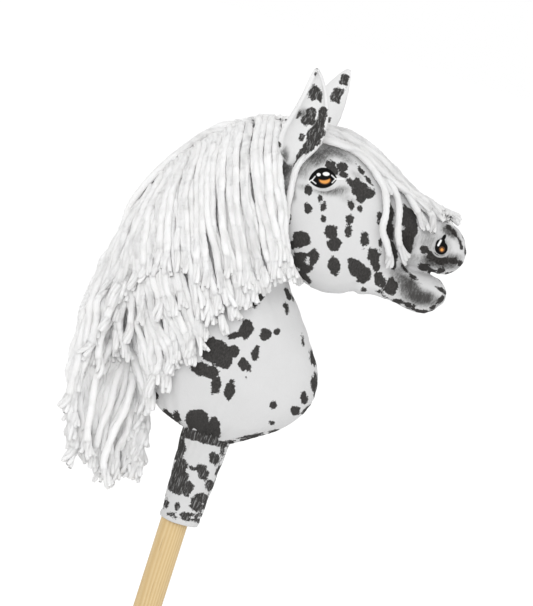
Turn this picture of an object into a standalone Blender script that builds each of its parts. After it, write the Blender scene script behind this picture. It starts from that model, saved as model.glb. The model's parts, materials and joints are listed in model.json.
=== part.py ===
"""A sewn and stuffed hobby horse on a removable wooden stick.

Metres, +Z up. The origin is the centre of the stick's foot, the stick runs up
the Z axis, the horse looks along +X, and its right side faces -Y. Everything
above the stick hangs under an empty at the sleeve's hem, so the heights of the
head's own sizes count from the hem. The head pulls off the stick along +Z.
"""

from math import copysign, cos, pi, radians, sin, tan

import bmesh
import bpy
from mathutils import Matrix, Vector
from mathutils.bvhtree import BVHTree

# Stick and the pocket that holds it
STICK_DIAMETER = 0.028
STICK_LENGTH = 0.75
STICK_CHAMFER = 0.0015
STICK_IN_HEAD = 0.33
STICK_EASE = 0.0004
POCKET_WALL = 0.0012
POCKET_MOUTH = 0.094

# Cloth and the gap between pieces that touch
CLOTH = 0.0018
GAP = 0.0003

# Sleeve: an oval cloth tube whose back lies against the stick
SLEEVE_WALL = 0.0016
SLEEVE_TOP = 0.099
SLEEVE_TOP_DEPTH = 0.051
SLEEVE_TOP_WIDTH = 0.044
SLEEVE_HEM_DEPTH = 0.0395
SLEEVE_HEM_WIDTH = 0.036
HEM_FOLD = 0.008
HEM_FOLD_THICKNESS = 0.0009

# Neck: back edge x and z, front edge x and z, half width, from the base up
NECK_ROWS = (
    (-0.0240, 0.0920, 0.0290, 0.0905, 0.019),
    (-0.0450, 0.0995, 0.0520, 0.1040, 0.032),
    (-0.0610, 0.1080, 0.0740, 0.1190, 0.040),
    (-0.0780, 0.1300, 0.0900, 0.1380, 0.046),
    (-0.0940, 0.1560, 0.0960, 0.1600, 0.050),
    (-0.1080, 0.1850, 0.0910, 0.1840, 0.052),
    (-0.1190, 0.2150, 0.0760, 0.2110, 0.052),
    (-0.1270, 0.2490, 0.0580, 0.2370, 0.050),
    (-0.1270, 0.2820, 0.0410, 0.2620, 0.047),
    (-0.1150, 0.3180, 0.0330, 0.2860, 0.044),
    (-0.0950, 0.3520, 0.0360, 0.3110, 0.041),
    (-0.0720, 0.3800, 0.0420, 0.3350, 0.038),
    (-0.0450, 0.4010, 0.0460, 0.3590, 0.034),
    (-0.0170, 0.4100, 0.0460, 0.3840, 0.026),
    (0.0040, 0.4110, 0.0420, 0.4000, 0.014),
)
# Face: top edge x and z, bottom edge x and z, half width, from the poll to the nose
FACE_ROWS = (
    (-0.0040, 0.4020, 0.0060, 0.3350, 0.022),
    (0.0040, 0.4110, 0.0140, 0.3080, 0.033),
    (0.0170, 0.4185, 0.0280, 0.2860, 0.040),
    (0.0340, 0.4220, 0.0450, 0.2710, 0.044),
    (0.0530, 0.4210, 0.0640, 0.2650, 0.045),
    (0.0730, 0.4155, 0.0860, 0.2665, 0.042),
    (0.0910, 0.4070, 0.1040, 0.2750, 0.037),
    (0.1080, 0.3960, 0.1180, 0.2940, 0.031),
    (0.1270, 0.3835, 0.1320, 0.3130, 0.027),
    (0.1460, 0.3775, 0.1490, 0.3190, 0.025),
    (0.1650, 0.3730, 0.1650, 0.3190, 0.0255),
    (0.1790, 0.3685, 0.1790, 0.3195, 0.025),
    (0.1895, 0.3595, 0.1890, 0.3250, 0.020),
    (0.1950, 0.3500, 0.1950, 0.3340, 0.011),
    (0.1968, 0.3450, 0.1968, 0.3390, 0.004),
)
# Lower jaw: top edge x and z, bottom edge x and z, half width, from the cheek to the lip
JAW_ROWS = (
    (0.0880, 0.3000, 0.0900, 0.2770, 0.018),
    (0.1040, 0.3100, 0.1060, 0.2735, 0.024),
    (0.1210, 0.3140, 0.1220, 0.2780, 0.023),
    (0.1380, 0.3160, 0.1390, 0.2790, 0.021),
    (0.1550, 0.3160, 0.1550, 0.2765, 0.020),
    (0.1710, 0.3155, 0.1705, 0.2755, 0.0195),
    (0.1820, 0.3120, 0.1805, 0.2805, 0.0165),
    (0.1880, 0.3050, 0.1880, 0.2900, 0.011),
    (0.1903, 0.2995, 0.1903, 0.2960, 0.004),
)
FULLNESS = 2.3
FORM_SIDES = 20
MUZZLE_START = 0.119
MOUTH_BACK = 0.134
MOUTH_FRONT = 0.188
MOUTH_HALF_WIDTH = 0.0125

# Ears: height, and widths along it as a share of the height and of the full width
EAR_HEIGHT = 0.103
EAR_WIDTH = 0.038
EAR_SHAPE = (
    (0.0, 0.50),
    (0.10, 0.68),
    (0.22, 0.88),
    (0.38, 1.0),
    (0.54, 0.94),
    (0.68, 0.79),
    (0.82, 0.60),
    (0.93, 0.36),
    (1.0, 0.12),
)
EAR_COLUMNS = 6
EAR_CUP = 58.0
EAR_TURN = 24.0
EAR_SPLAY = 13.5
EAR_X = 0.003
EAR_Z = {"right": 0.378, "left": 0.387}
EAR_CLOTH = 0.0015
EAR_RIM = 0.0022
EAR_LEAN = {"right": 1.0, "left": 13.0}
# How far an ear folds back and forward in degrees, and how far its foot's corners rise for it
EAR_FOLDS = (-10.0, 20.0)
EAR_FOOT_RISE = 0.008

# Mane: its tape along the crest, and where along the neck's rows it starts and ends
TAPE_WIDTH = 0.014
TAPE_THICKNESS = 0.0014
TAPE_TOP_ROW = 13.0
TAPE_END_ROW = 3.7
# Locks that hang down the neck's sides
LOCK_WIDTH = 0.0096
LOCK_THICKNESS = 0.0085
LOCK_SIDES = 8
LOCK_EASE = 0.0022
# A lock's size where it is sewn, and over its last two points, as a share of its full size
LOCK_ROOT = 0.8
LOCK_TIP = (0.86, 0.5)
SIDE_LOCKS = 11
SIDE_FRONT_X = -0.032
SIDE_BACK_X = -0.12
SIDE_ARCH = 0.005
# How far each leans forward in degrees and where it ends, from the poll to the withers
SIDE_HANG = (
    (20.0, 0.255),
    (18.0, 0.205),
    (13.0, 0.165),
    (7.0, 0.090),
    (7.0, 0.013),
    (6.0, 0.020),
)
# Locks that hang behind the neck, from the withers up
BACK_LOCKS = 5
BACK_LOCK_WIDTH = 0.015
BACK_LOCK_THICKNESS = 0.0085
BACK_ROOT_LOW = 0.158
BACK_ROOT_HIGH = 0.272
BACK_STEEPEST = 22.0
BACK_LEAN = 8.0
BACK_END_LOW = 0.017
BACK_END_HIGH = 0.056
# Forelock: its tape over the poll, then each lock's first angle, last row and last angle
POLL_TAPE_ROWS = (1.75, 2.2)
POLL_TAPE_ANGLE = 29.0
FORELOCK_WIDTH = 0.0078
FORELOCK_THICKNESS = 0.0068
FORELOCK_ROUTES = {
    "long": (5.0, 11.2, 24.0),
    "middle": (15.0, 9.6, 60.0),
    "short": (26.0, 7.6, 112.0),
}

STICK_RADIUS = STICK_DIAMETER / 2
HEM_HEIGHT = STICK_LENGTH - STICK_IN_HEAD
POCKET_BORE = STICK_RADIUS + STICK_EASE
POCKET_RADIUS = POCKET_BORE + POCKET_WALL
POCKET_TOP = STICK_IN_HEAD + GAP
TAPE_SEAT = 2 * GAP
SIDES = {"right": -1, "left": 1}
# The neck's row where the crest lies furthest back
REARMOST_ROW = 7.5
# Past every piece of the horse, for the boxes that cut it
FAR = 1.0

# Base colour, roughness
FINISHES = {
    "pine": ((0.73, 0.54, 0.25), 0.55),
    "plush": ((0.82, 0.82, 0.84), 0.9),
    "ear_fur": ((0.05, 0.05, 0.05), 0.9),
    "lip_cloth": ((0.55, 0.55, 0.56), 0.9),
    "fibre_fill": ((0.85, 0.84, 0.80), 1.0),
    "cotton_tape": ((0.78, 0.77, 0.73), 0.9),
    "yarn": ((0.88, 0.88, 0.89), 0.95),
}


def collection(name):
    made = bpy.data.collections.new(name)
    bpy.context.scene.collection.children.link(made)
    return made


def material(name):
    found = bpy.data.materials.get(name)
    if found:
        return found
    colour, roughness = FINISHES[name]
    made = bpy.data.materials.new(name)
    made.use_nodes = True
    shader = made.node_tree.nodes["Principled BSDF"]
    shader.inputs["Base Color"].default_value = (*colour, 1)
    shader.inputs["Roughness"].default_value = roughness
    return made


def add(name, mesh, finish, parent=None):
    """A piece of the horse, with its material, under its parent empty."""
    obj = bpy.data.objects.new(name, mesh)
    PARTS.objects.link(obj)
    mesh.materials.append(material(finish))
    obj.parent = parent
    return obj


def cutter(name, mesh, parent=None):
    """A form that pieces are cut by. It isn't part of the horse."""
    obj = bpy.data.objects.new(name, mesh)
    CUTTERS.objects.link(obj)
    obj.hide_render = True
    obj.display_type = "WIRE"
    obj.parent = parent
    return obj


def empty(name, location, parent=None):
    obj = bpy.data.objects.new(name, None)
    PARTS.objects.link(obj)
    obj.location = location
    obj.parent = parent
    return obj


def cut(obj, other, operation="DIFFERENCE"):
    modifier = obj.modifiers.new(f"{operation.lower()} {other.name}", "BOOLEAN")
    modifier.operation = operation
    modifier.object = other


def shaded(mesh, sharpest=50.0):
    mesh.shade_smooth()
    mesh.set_sharp_from_angle(angle=radians(sharpest))
    return mesh


def mesh_of(name, build, closed=True):
    """The mesh that build makes in a bmesh. A closed one gets its faces turned out."""
    mesh = bpy.data.meshes.new(name)
    bm = bmesh.new()
    build(bm)
    if closed:
        bmesh.ops.recalc_face_normals(bm, faces=bm.faces)
    bm.to_mesh(mesh)
    bm.free()
    return shaded(mesh)


def box_mesh(name, low, high):
    low, high = Vector(low), Vector(high)
    matrix = Matrix.Translation((low + high) / 2) @ Matrix.Diagonal((*(high - low), 1))
    return mesh_of(name, lambda bm: bmesh.ops.create_cube(bm, size=1, matrix=matrix))


def cylinder_mesh(name, radius, top):
    """An upright cylinder from the hem's height up to this top."""

    def build(bm):
        bmesh.ops.create_cone(
            bm,
            cap_ends=True,
            segments=32,
            radius1=radius,
            radius2=radius,
            depth=top,
            matrix=Matrix.Translation((0, 0, top / 2)),
        )

    return mesh_of(name, build)


def loft_mesh(name, rings, ends=True):
    """A solid through rings of points. With no ends, its last ring joins its first."""

    def build(bm):
        made = [[bm.verts.new(point) for point in ring] for ring in rings]
        for first, second in zip(made, made[1:] if ends else made[1:] + made[:1]):
            for i, corner in enumerate(first):
                j = (i + 1) % len(first)
                bm.faces.new((corner, first[j], second[j], second[i]))
        if ends:
            bm.faces.new(made[0])
            bm.faces.new(made[-1])
        # The same diagonals for every inset of a form, so that the insets never cross
        bmesh.ops.triangulate(bm, faces=bm.faces)

    return mesh_of(name, build)


def turned(obj, steps=32):
    """Turns the object's outline round Z."""
    screw = obj.modifiers.new("turn", "SCREW")
    screw.steps = steps
    screw.render_steps = steps
    screw.use_merge_vertices = True
    screw.merge_threshold = 0.00001
    screw.use_smooth_shade = False
    return obj


def outline_mesh(name, points):
    """An open outline of (radius, height) points, for a turned piece, from its top down."""
    mesh = bpy.data.meshes.new(name)
    mesh.from_pydata(
        [(radius, 0, height) for radius, height in points],
        [(i, i + 1) for i in range(len(points) - 1)],
        [],
    )
    return mesh


def spline(rows, position):
    """The values at a position along a table of rows, on a smooth curve through them all."""
    last = len(rows) - 1
    i = min(max(int(position), 0), last - 1)
    t = position - i
    near = (rows[min(max(k, 0), last)] for k in range(i - 1, i + 3))
    return [
        b + 0.5 * t * (c - a + t * (2 * a - 5 * b + 4 * c - d + t * (3 * b - a - 3 * c + d)))
        for a, b, c, d in zip(*near)
    ]


def power(value, exponent):
    return copysign(abs(value) ** exponent, value)


class Form:
    """A stuffed form: oval sections between the two edges that it shows from the side."""

    def __init__(self, name, rows):
        self.name = name
        self.rows = rows
        self.last = len(rows) - 1
        skin = self.mesh(f"{name}_surface")
        points = [vertex.co for vertex in skin.vertices]
        self.tree = BVHTree.FromPolygons(points, [face.vertices for face in skin.polygons])

    def edges(self, position):
        """The first edge's point, the other edge's point and the half width."""
        x0, z0, x1, z1, half = spline(self.rows, position)
        return Vector((x0, 0, z0)), Vector((x1, 0, z1)), half

    def point(self, position, angle):
        """The point at an angle round a section: 0 at the first edge, a quarter turn at -Y."""
        first, other, half = self.edges(position)
        reach = power(cos(angle), 2 / FULLNESS)
        swell = power(sin(angle), 2 / FULLNESS)
        return (first + other) / 2 + (first - other) / 2 * reach - Vector((0, half * swell, 0))

    def out(self, position, angle):
        """The way out of the surface at that point."""
        step = 0.01
        along = self.point(position + step, angle) - self.point(position - step, angle)
        around = self.point(position, angle + step) - self.point(position, angle - step)
        return around.cross(along).normalized()

    def gap(self, point):
        """How far outside the surface a point lies, below 0 inside it, and the way out there."""
        place, normal, _, far = self.tree.find_nearest(point)
        if (point - place).dot(normal) < 0:
            return -far, normal
        return far, (point - place).normalized() if far > GAP else normal

    def mesh(self, name, inset=0.0):
        """The closed form, with each point moved in along its normal by the inset."""
        turns = [2 * pi * i / FORM_SIDES for i in range(FORM_SIDES)]
        rows = range(self.last + 1)
        mesh = loft_mesh(name, [[self.point(row, turn) for turn in turns] for row in rows])
        normals = [vertex.normal.copy() for vertex in mesh.vertices]
        for vertex, normal in zip(mesh.vertices, normals):
            vertex.co -= normal * inset
        return mesh


def slide_out(forms, point, way, clearance):
    """The point moved that way until it clears every form, and the way out of the nearest."""
    for _ in range(40):
        least, out = min((form.gap(point) for form in forms), key=lambda found: found[0])
        if least > clearance - GAP / 100:
            break
        point = point + way * (clearance - least)
    return point, out


def seat(mesh, forms, way, clearance):
    """How far to move a mesh that way until all its points clear the forms."""
    points = [vertex.co for vertex in mesh.vertices]
    return max((slide_out(forms, point, way, clearance)[0] - point).length for point in points)


def make_stick():
    outline = outline_mesh("stick", (
        (0, STICK_LENGTH),
        (STICK_RADIUS - STICK_CHAMFER, STICK_LENGTH),
        (STICK_RADIUS, STICK_LENGTH - STICK_CHAMFER),
        (STICK_RADIUS, STICK_CHAMFER),
        (STICK_RADIUS - STICK_CHAMFER, 0),
        (0, 0),
    ))
    turned(add("stick", outline, "pine"))


def make_pocket(head):
    """The cloth tunnel in the stuffing, closed at its top, that the stick pushes up into."""
    outline = outline_mesh("stick_pocket", (
        (0, POCKET_TOP + POCKET_WALL),
        (POCKET_RADIUS, POCKET_TOP + POCKET_WALL),
        (POCKET_RADIUS, POCKET_MOUTH),
        (POCKET_BORE, POCKET_MOUTH),
        (POCKET_BORE, POCKET_TOP),
        (0, POCKET_TOP),
    ))
    turned(add("stick_pocket", outline, "cotton_tape", head))


def sleeve_ring(share, z, grow):
    """An oval ring with its back at the stick: share 0 is the hem's size, 1 the top's."""
    depth = SLEEVE_HEM_DEPTH + (SLEEVE_TOP_DEPTH - SLEEVE_HEM_DEPTH) * share
    width = SLEEVE_HEM_WIDTH + (SLEEVE_TOP_WIDTH - SLEEVE_HEM_WIDTH) * share
    back = -(STICK_RADIUS + STICK_EASE + SLEEVE_WALL)
    # The wider top spreads behind the stick as well as before it
    middle = back + SLEEVE_HEM_DEPTH / 2 + (depth - SLEEVE_HEM_DEPTH) * 0.1
    sides = 28
    return [
        Vector((
            middle + (depth / 2 + grow) * cos(2 * pi * i / sides),
            (width / 2 + grow) * sin(2 * pi * i / sides),
            z,
        ))
        for i in range(sides)
    ]


def make_sleeve(head, neck):
    """The oval sleeve under the neck, with its folded hem, cut to the neck's base."""
    levels = (
        (0.0, 0.0, HEM_FOLD_THICKNESS / 2),
        (0.0, HEM_FOLD * 0.25, HEM_FOLD_THICKNESS),
        (0.0, HEM_FOLD, HEM_FOLD_THICKNESS),
        (0.02, HEM_FOLD + HEM_FOLD_THICKNESS, 0.0),
        (0.3, SLEEVE_TOP * 0.42, 0.0),
        (0.7, SLEEVE_TOP * 0.75, 0.0),
        (1.0, SLEEVE_TOP, 0.0),
    )
    outer = [sleeve_ring(*level) for level in levels]
    inner = [sleeve_ring(share, z, -SLEEVE_WALL) for share, z, _ in reversed(levels)]
    sleeve = add("sleeve", loft_mesh("sleeve", outer + inner, ends=False), "plush", head)
    cut(sleeve, cutter("neck_over_sleeve", neck.mesh("neck_over_sleeve", -GAP), head))


def skin(name, finish, head, outsides, insides):
    """The cloth over the whole head: every form's outside joined, less every form's inside."""
    cloth = add(name, outsides[0].data.copy(), finish, head)
    for other in outsides[1:]:
        cut(cloth, other, "UNION")
    for other in insides:
        cut(cloth, other)
    return cloth


def mouth_box(name, head, grow, low, high):
    return cutter(name, box_mesh(
        name,
        (MOUTH_BACK - grow, -MOUTH_HALF_WIDTH - grow, low),
        (MOUTH_FRONT + grow, MOUTH_HALF_WIDTH + grow, high),
    ), head)


def make_covers(head, neck, face, jaw):
    """The right and left cloth sides, and the two cloths that line the mouth."""
    forms = (neck, face, jaw)
    outsides = [cutter(f"{f.name}_outside", f.mesh(f"{f.name}_outside"), head) for f in forms]
    insides = [
        cutter(f"{f.name}_inside", f.mesh(f"{f.name}_inside", CLOTH), head) for f in forms
    ]
    pocket_hole = cutter(
        "pocket_hole", cylinder_mesh("pocket_hole", POCKET_RADIUS + GAP, POCKET_TOP / 2), head
    )
    lip_row = 4
    mouth_top = face.edges(face.last - lip_row)[1].z + 2 * CLOTH
    mouth_low = jaw.edges(lip_row)[0].z - 2 * CLOTH
    mouth = mouth_box("mouth", head, GAP, mouth_low - GAP, mouth_top + GAP)
    other_side = {"right": (-GAP / 2, FAR), "left": (-FAR, GAP / 2)}
    for side, (low, high) in other_side.items():
        cover = skin(f"{side}_cover", "plush", head, outsides, insides)
        cut(cover, pocket_hole)
        cut(cover, mouth)
        half = box_mesh(f"past_{side}", (-FAR, low, -FAR), (FAR, high, FAR))
        cut(cover, cutter(f"past_{side}", half, head))
    slit = (mouth_low + mouth_top) / 2
    for name, low, high in (
        ("palate_lining", slit, mouth_top),
        ("lower_lip_lining", mouth_low, slit),
    ):
        lining = skin(name, "lip_cloth", head, outsides, insides)
        cut(lining, mouth_box(f"{name}_edge", head, 0.0, low, high), "INTERSECT")


def make_fillings(head, neck, face, jaw):
    """The wads of fibre inside: each is cut clear of the larger one next to it."""
    deep = CLOTH + GAP
    bore = cylinder_mesh("pocket_room", POCKET_RADIUS + GAP, POCKET_TOP + POCKET_WALL + GAP)
    neck_room = cutter("neck_room", neck.mesh("neck_room", CLOTH), head)
    face_room = cutter("face_room", face.mesh("face_room", CLOTH), head)
    split = MUZZLE_START + GAP / 2
    front = box_mesh("muzzle_side", (split - GAP, -FAR, -FAR), (FAR, FAR, FAR))
    back = box_mesh("skull_side", (-FAR, -FAR, -FAR), (split, FAR, FAR))
    for name, form, cutters in (
        ("neck_filling", neck, [cutter("pocket_room", bore, head)]),
        ("skull_filling", face, [neck_room, cutter("muzzle_side", front, head)]),
        ("muzzle_filling", face, [cutter("skull_side", back, head)]),
        ("jaw_filling", jaw, [face_room]),
    ):
        filling = add(name, form.mesh(name, deep), "fibre_fill", head)
        for other in cutters:
            cut(filling, other)


def ear_leaf(name, inward, trim):
    """An ear's cupped leaf as an open surface, its hollow facing -Y, moved in and trimmed."""
    bend = radians(EAR_CUP)

    def build(bm):
        rows = []
        for share, wide in EAR_SHAPE:
            half = max(EAR_WIDTH / 2 * wide - trim, EAR_CLOTH)
            radius = half / sin(bend)
            turns = [bend * (2 * i / EAR_COLUMNS - 1) for i in range(EAR_COLUMNS + 1)]
            rows.append([
                bm.verts.new((
                    (radius - inward) * sin(turn),
                    (radius - inward) * cos(turn) - radius,
                    share * (EAR_HEIGHT - trim)
                    + EAR_FOOT_RISE * (1 - share) ** 4 * (sin(turn) / sin(bend)) ** 2,
                ))
                for turn in turns
            ])
        for lower, upper in zip(rows, rows[1:]):
            for i in range(EAR_COLUMNS):
                bm.faces.new((lower[i + 1], lower[i], upper[i], upper[i + 1]))

    return mesh_of(name, build, closed=False)


def make_ear(head, side, forms):
    """A cloth leaf and its furry lining, on an empty at the seam where the ear folds."""
    sign = SIDES[side]
    stance = (
        Matrix.Rotation(radians(EAR_LEAN[side]), 4, "Y")
        @ Matrix.Rotation(radians(-sign * EAR_SPLAY), 4, "X")
        @ Matrix.Rotation(radians(-sign * EAR_TURN) + (pi if sign > 0 else 0), 4, "Z")
    )
    leaves = (
        ("outer", 0.0, 0.0, "plush"),
        ("lining", EAR_CLOTH + GAP, EAR_RIM, "ear_fur"),
    )
    foot = Vector((EAR_X, 0, EAR_Z[side]))
    hinge = empty(f"{side}_ear_hinge", foot, head)
    for part, inward, trim, finish in leaves:
        name = f"{side}_ear_{part}"
        leaf = ear_leaf(name, inward, trim)
        leaf.transform(stance)
        obj = add(name, leaf, finish, hinge)
        cloth = obj.modifiers.new("cloth", "SOLIDIFY")
        cloth.thickness = EAR_CLOTH
        cloth.offset = 1.0
        cloth.use_even_offset = True
        if part == "outer":
            way = Vector((0, sign, 0))
            reaches = []
            for fold in (0.0, *EAR_FOLDS):
                placed = leaf.copy()
                turn = Matrix.Rotation(radians(fold), 4, "Y")
                placed.transform(Matrix.Translation(foot) @ turn)
                reaches.append(seat(placed, forms, way, EAR_CLOTH + GAP))
            hinge.location += way * max(reaches)


def lock_mesh(name, path, ways, width, thickness):
    """A flat tapered lock of yarn along a path, with its flat side turned the given ways."""
    last = len(path) - 1
    tapers = [LOCK_ROOT] + [1.0] * (last - 2) + list(LOCK_TIP)
    turns = [2 * pi * i / LOCK_SIDES for i in range(LOCK_SIDES)]
    rings = []
    for k, (centre, way, taper) in enumerate(zip(path, ways, tapers)):
        run = (path[min(k + 1, last)] - path[max(k - 1, 0)]).normalized()
        side = run.cross(way).normalized() * (width / 2 * taper)
        out = side.cross(run).normalized() * (thickness / 2 * taper)
        rings.append([centre + side * cos(turn) + out * sin(turn) for turn in turns])
    return loft_mesh(name, rings)


def make_mane_tape(head, neck):
    """The woven tape along the crest that the mane is sewn to."""
    rows = [row for row in range(neck.last) if TAPE_END_ROW < row < TAPE_TOP_ROW]
    rings = []
    for row in (TAPE_END_ROW, *rows, TAPE_TOP_ROW):
        out = neck.out(row, 0)
        low = neck.point(row, 0) + out * TAPE_SEAT
        high = low + out * TAPE_THICKNESS
        half = Vector((0, TAPE_WIDTH / 2, 0))
        rings.append([low - half, low + half, high + half, high - half])
    add("mane_tape", loft_mesh("mane_tape", rings), "cotton_tape", head)


def crest_row(neck, axis, value, low=0.0):
    """The row, from this one up, where the crest reaches a value of x (axis 0) or z (axis 2)."""
    high = float(neck.last)
    for _ in range(30):
        middle = (low + high) / 2
        if neck.edges(middle)[0][axis] < value:
            low = middle
        else:
            high = middle
    return low


def make_side_locks(head, neck, forms):
    """The locks down both sides of the neck. They leave the tape's edges and hang down."""
    drops = 10
    for side, sign in SIDES.items():
        for i in range(SIDE_LOCKS):
            share = i / (SIDE_LOCKS - 1)
            x = SIDE_FRONT_X + (SIDE_BACK_X - SIDE_FRONT_X) * share
            row = crest_row(neck, 0, x, REARMOST_ROW)
            lean, end = spline(SIDE_HANG, share * (len(SIDE_HANG) - 1))
            out = neck.out(row, 0)
            across = Vector((0, sign, 0))
            root = neck.point(row, 0) + across * (TAPE_WIDTH / 2 + GAP)
            root += out * (TAPE_SEAT + LOCK_THICKNESS / 2 * LOCK_ROOT)
            arch = root + out * SIDE_ARCH + across * LOCK_THICKNESS
            path, ways = [root, root + across * LOCK_THICKNESS / 4, arch], [out, out, out]
            beside = arch.y + sign * LOCK_THICKNESS / 2
            for k in range(1, drops + 1):
                fall = (arch.z - end) * (k / drops) ** 1.3
                hang = Vector((arch.x + fall * sin(radians(lean)), beside, arch.z - fall))
                point, out = slide_out(forms, hang, across, LOCK_THICKNESS / 2 + LOCK_EASE)
                # Yarn hangs straight down from the neck's widest place
                beside = point.y
                path.append(point)
                ways.append((ways[-1] + out).normalized())
            name = f"{side}_mane_lock_{i + 1:02d}"
            mesh = lock_mesh(name, path, ways, LOCK_WIDTH, LOCK_THICKNESS)
            add(name, mesh, "yarn", head)


def make_back_locks(head, neck):
    """The locks that hang behind the neck. Each higher one lies over the roots below it."""
    spacing = (BACK_ROOT_HIGH - BACK_ROOT_LOW) / (BACK_LOCKS - 1)
    layer = (BACK_LOCK_THICKNESS + GAP) / cos(radians(BACK_STEEPEST))
    drops = 3
    for i in range(BACK_LOCKS):
        height = BACK_ROOT_LOW + spacing * i
        end = BACK_END_LOW + (BACK_END_HIGH - BACK_END_LOW) * i / (BACK_LOCKS - 1)
        row = crest_row(neck, 2, height)
        out = neck.out(row, 0)
        root = neck.point(row, 0) + out * (TAPE_SEAT + TAPE_THICKNESS + GAP)
        path = [root, root + out * layer / 2]
        for k in range(i + 1):
            z = height - layer - spacing * k
            crest = neck.edges(crest_row(neck, 2, z))[0].x
            path.append(Vector((crest - layer * (1 + (height - z) / spacing), 0, z)))
        below = path[-1]
        for k in range(1, drops + 1):
            fall = (below.z - end) * k / drops
            path.append(below + Vector((fall * tan(radians(BACK_LEAN)), 0, -fall)))
        along = Vector((out.z, 0, -out.x))
        ways = [along, along + out] + [Vector((-1, 0, 0))] * (i + 1 + drops)
        for side, sign in SIDES.items():
            beside = Vector((0, sign * (BACK_LOCK_WIDTH / 2 + GAP), 0))
            name = f"{side}_withers_lock_{i + 1}"
            moved = [point + beside for point in path]
            mesh = lock_mesh(name, moved, ways, BACK_LOCK_WIDTH, BACK_LOCK_THICKNESS)
            add(name, mesh, "yarn", head)


def make_forelock(head, face):
    """The tape over the poll, and the locks that lie along the face from its front edge."""
    rings = []
    columns = 8
    for k in range(columns + 1):
        angle = radians(POLL_TAPE_ANGLE * (2 * k / columns - 1))
        feet = [(face.point(row, angle), face.out(row, angle)) for row in POLL_TAPE_ROWS]
        low = [foot + out * TAPE_SEAT for foot, out in feet]
        high = [foot + out * (TAPE_SEAT + TAPE_THICKNESS) for foot, out in reversed(feet)]
        rings.append(low + high)
    add("forelock_tape", loft_mesh("forelock_tape", rings), "cotton_tape", head)
    steps = 9
    for side, sign in SIDES.items():
        for name, (first_angle, last_row, last_angle) in FORELOCK_ROUTES.items():
            front = POLL_TAPE_ROWS[1]
            row_length = (face.point(front + 1, 0) - face.point(front, 0)).length
            # A lock sets off a little askew, so its corner stays clear of the tape
            first_row = front + (GAP + FORELOCK_WIDTH / 8) / row_length
            path, ways = [], []
            for k in range(steps + 1):
                t = k / steps
                row = first_row + (last_row - first_row) * t
                angle = -sign * radians(first_angle + (last_angle - first_angle) * t**1.4)
                way = face.out(row, angle)
                path.append(face.point(row, angle) + way * (FORELOCK_THICKNESS / 2 + 2 * GAP))
                ways.append(way)
            name = f"{side}_forelock_{name}"
            mesh = lock_mesh(name, path, ways, FORELOCK_WIDTH, FORELOCK_THICKNESS)
            add(name, mesh, "yarn", head)


def build():
    neck = Form("neck", NECK_ROWS)
    face = Form("face", FACE_ROWS)
    jaw = Form("jaw", JAW_ROWS)
    head = empty("head", (0, 0, HEM_HEIGHT))
    make_stick()
    make_pocket(head)
    make_sleeve(head, neck)
    make_covers(head, neck, face, jaw)
    make_fillings(head, neck, face, jaw)
    for side in SIDES:
        make_ear(head, side, (neck, face))
    make_mane_tape(head, neck)
    make_side_locks(head, neck, (neck, face))
    make_back_locks(head, neck)
    make_forelock(head, face)


for old in list(bpy.data.objects):
    bpy.data.objects.remove(old)
PARTS = collection("hobby horse")
CUTTERS = collection("cutters")
build()
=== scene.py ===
"""The hobby horse's looks: spotted cloth, plush ears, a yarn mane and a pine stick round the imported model.

Metres, +Z up along the stick, +X towards the nose. The near side is the horse's right, at -Y.
"""

import json
from math import cos, pi, radians, sin

import bmesh
import bpy
import numpy as np
from mathutils import Matrix, Vector
from mathutils.bvhtree import BVHTree
from mathutils.kdtree import KDTree


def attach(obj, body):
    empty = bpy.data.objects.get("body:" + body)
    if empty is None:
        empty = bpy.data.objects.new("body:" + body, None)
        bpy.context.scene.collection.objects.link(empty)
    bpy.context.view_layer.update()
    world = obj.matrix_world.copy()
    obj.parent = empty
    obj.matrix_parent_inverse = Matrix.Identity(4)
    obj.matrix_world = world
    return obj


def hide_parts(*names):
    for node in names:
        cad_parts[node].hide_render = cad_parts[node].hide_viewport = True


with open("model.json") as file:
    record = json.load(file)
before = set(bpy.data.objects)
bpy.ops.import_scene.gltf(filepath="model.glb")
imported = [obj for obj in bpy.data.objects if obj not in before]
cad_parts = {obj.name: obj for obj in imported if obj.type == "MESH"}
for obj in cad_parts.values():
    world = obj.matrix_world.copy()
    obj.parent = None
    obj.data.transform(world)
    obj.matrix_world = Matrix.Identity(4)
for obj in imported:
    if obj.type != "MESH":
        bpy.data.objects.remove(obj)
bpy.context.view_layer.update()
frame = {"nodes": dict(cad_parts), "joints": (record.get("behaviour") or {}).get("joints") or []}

# The photograph: its size in pixels, where it looks, how far it leans and from how far
PHOTO_WIDE, PHOTO_TALL = 533, 606
LOOK_AT = Vector((0.0214, 0.0, 0.6581))
ROLL = radians(17.75)
RISE = radians(7.0)
DISTANCE = 2.3
METRES_A_PIXEL = 0.001
PIXELS = DISTANCE / METRES_A_PIXEL
# The photograph's forward, right and up, and the camera's place
FORWARD = Vector((0, cos(RISE), -sin(RISE)))
LEVEL_UP = Vector((0, sin(RISE), cos(RISE)))
RIGHT = Vector((cos(ROLL), 0, 0)) + LEVEL_UP * sin(ROLL)
UP = Vector((-sin(ROLL), 0, 0)) + LEVEL_UP * cos(ROLL)
EYE_POINT = LOOK_AT - FORWARD * DISTANCE

# Heights of the sleeve's hem and of the pocket's top, and the pocket's radius
HEM = 0.42
POCKET_TOP = 0.7504
POCKET_BORE = 0.0146

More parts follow.
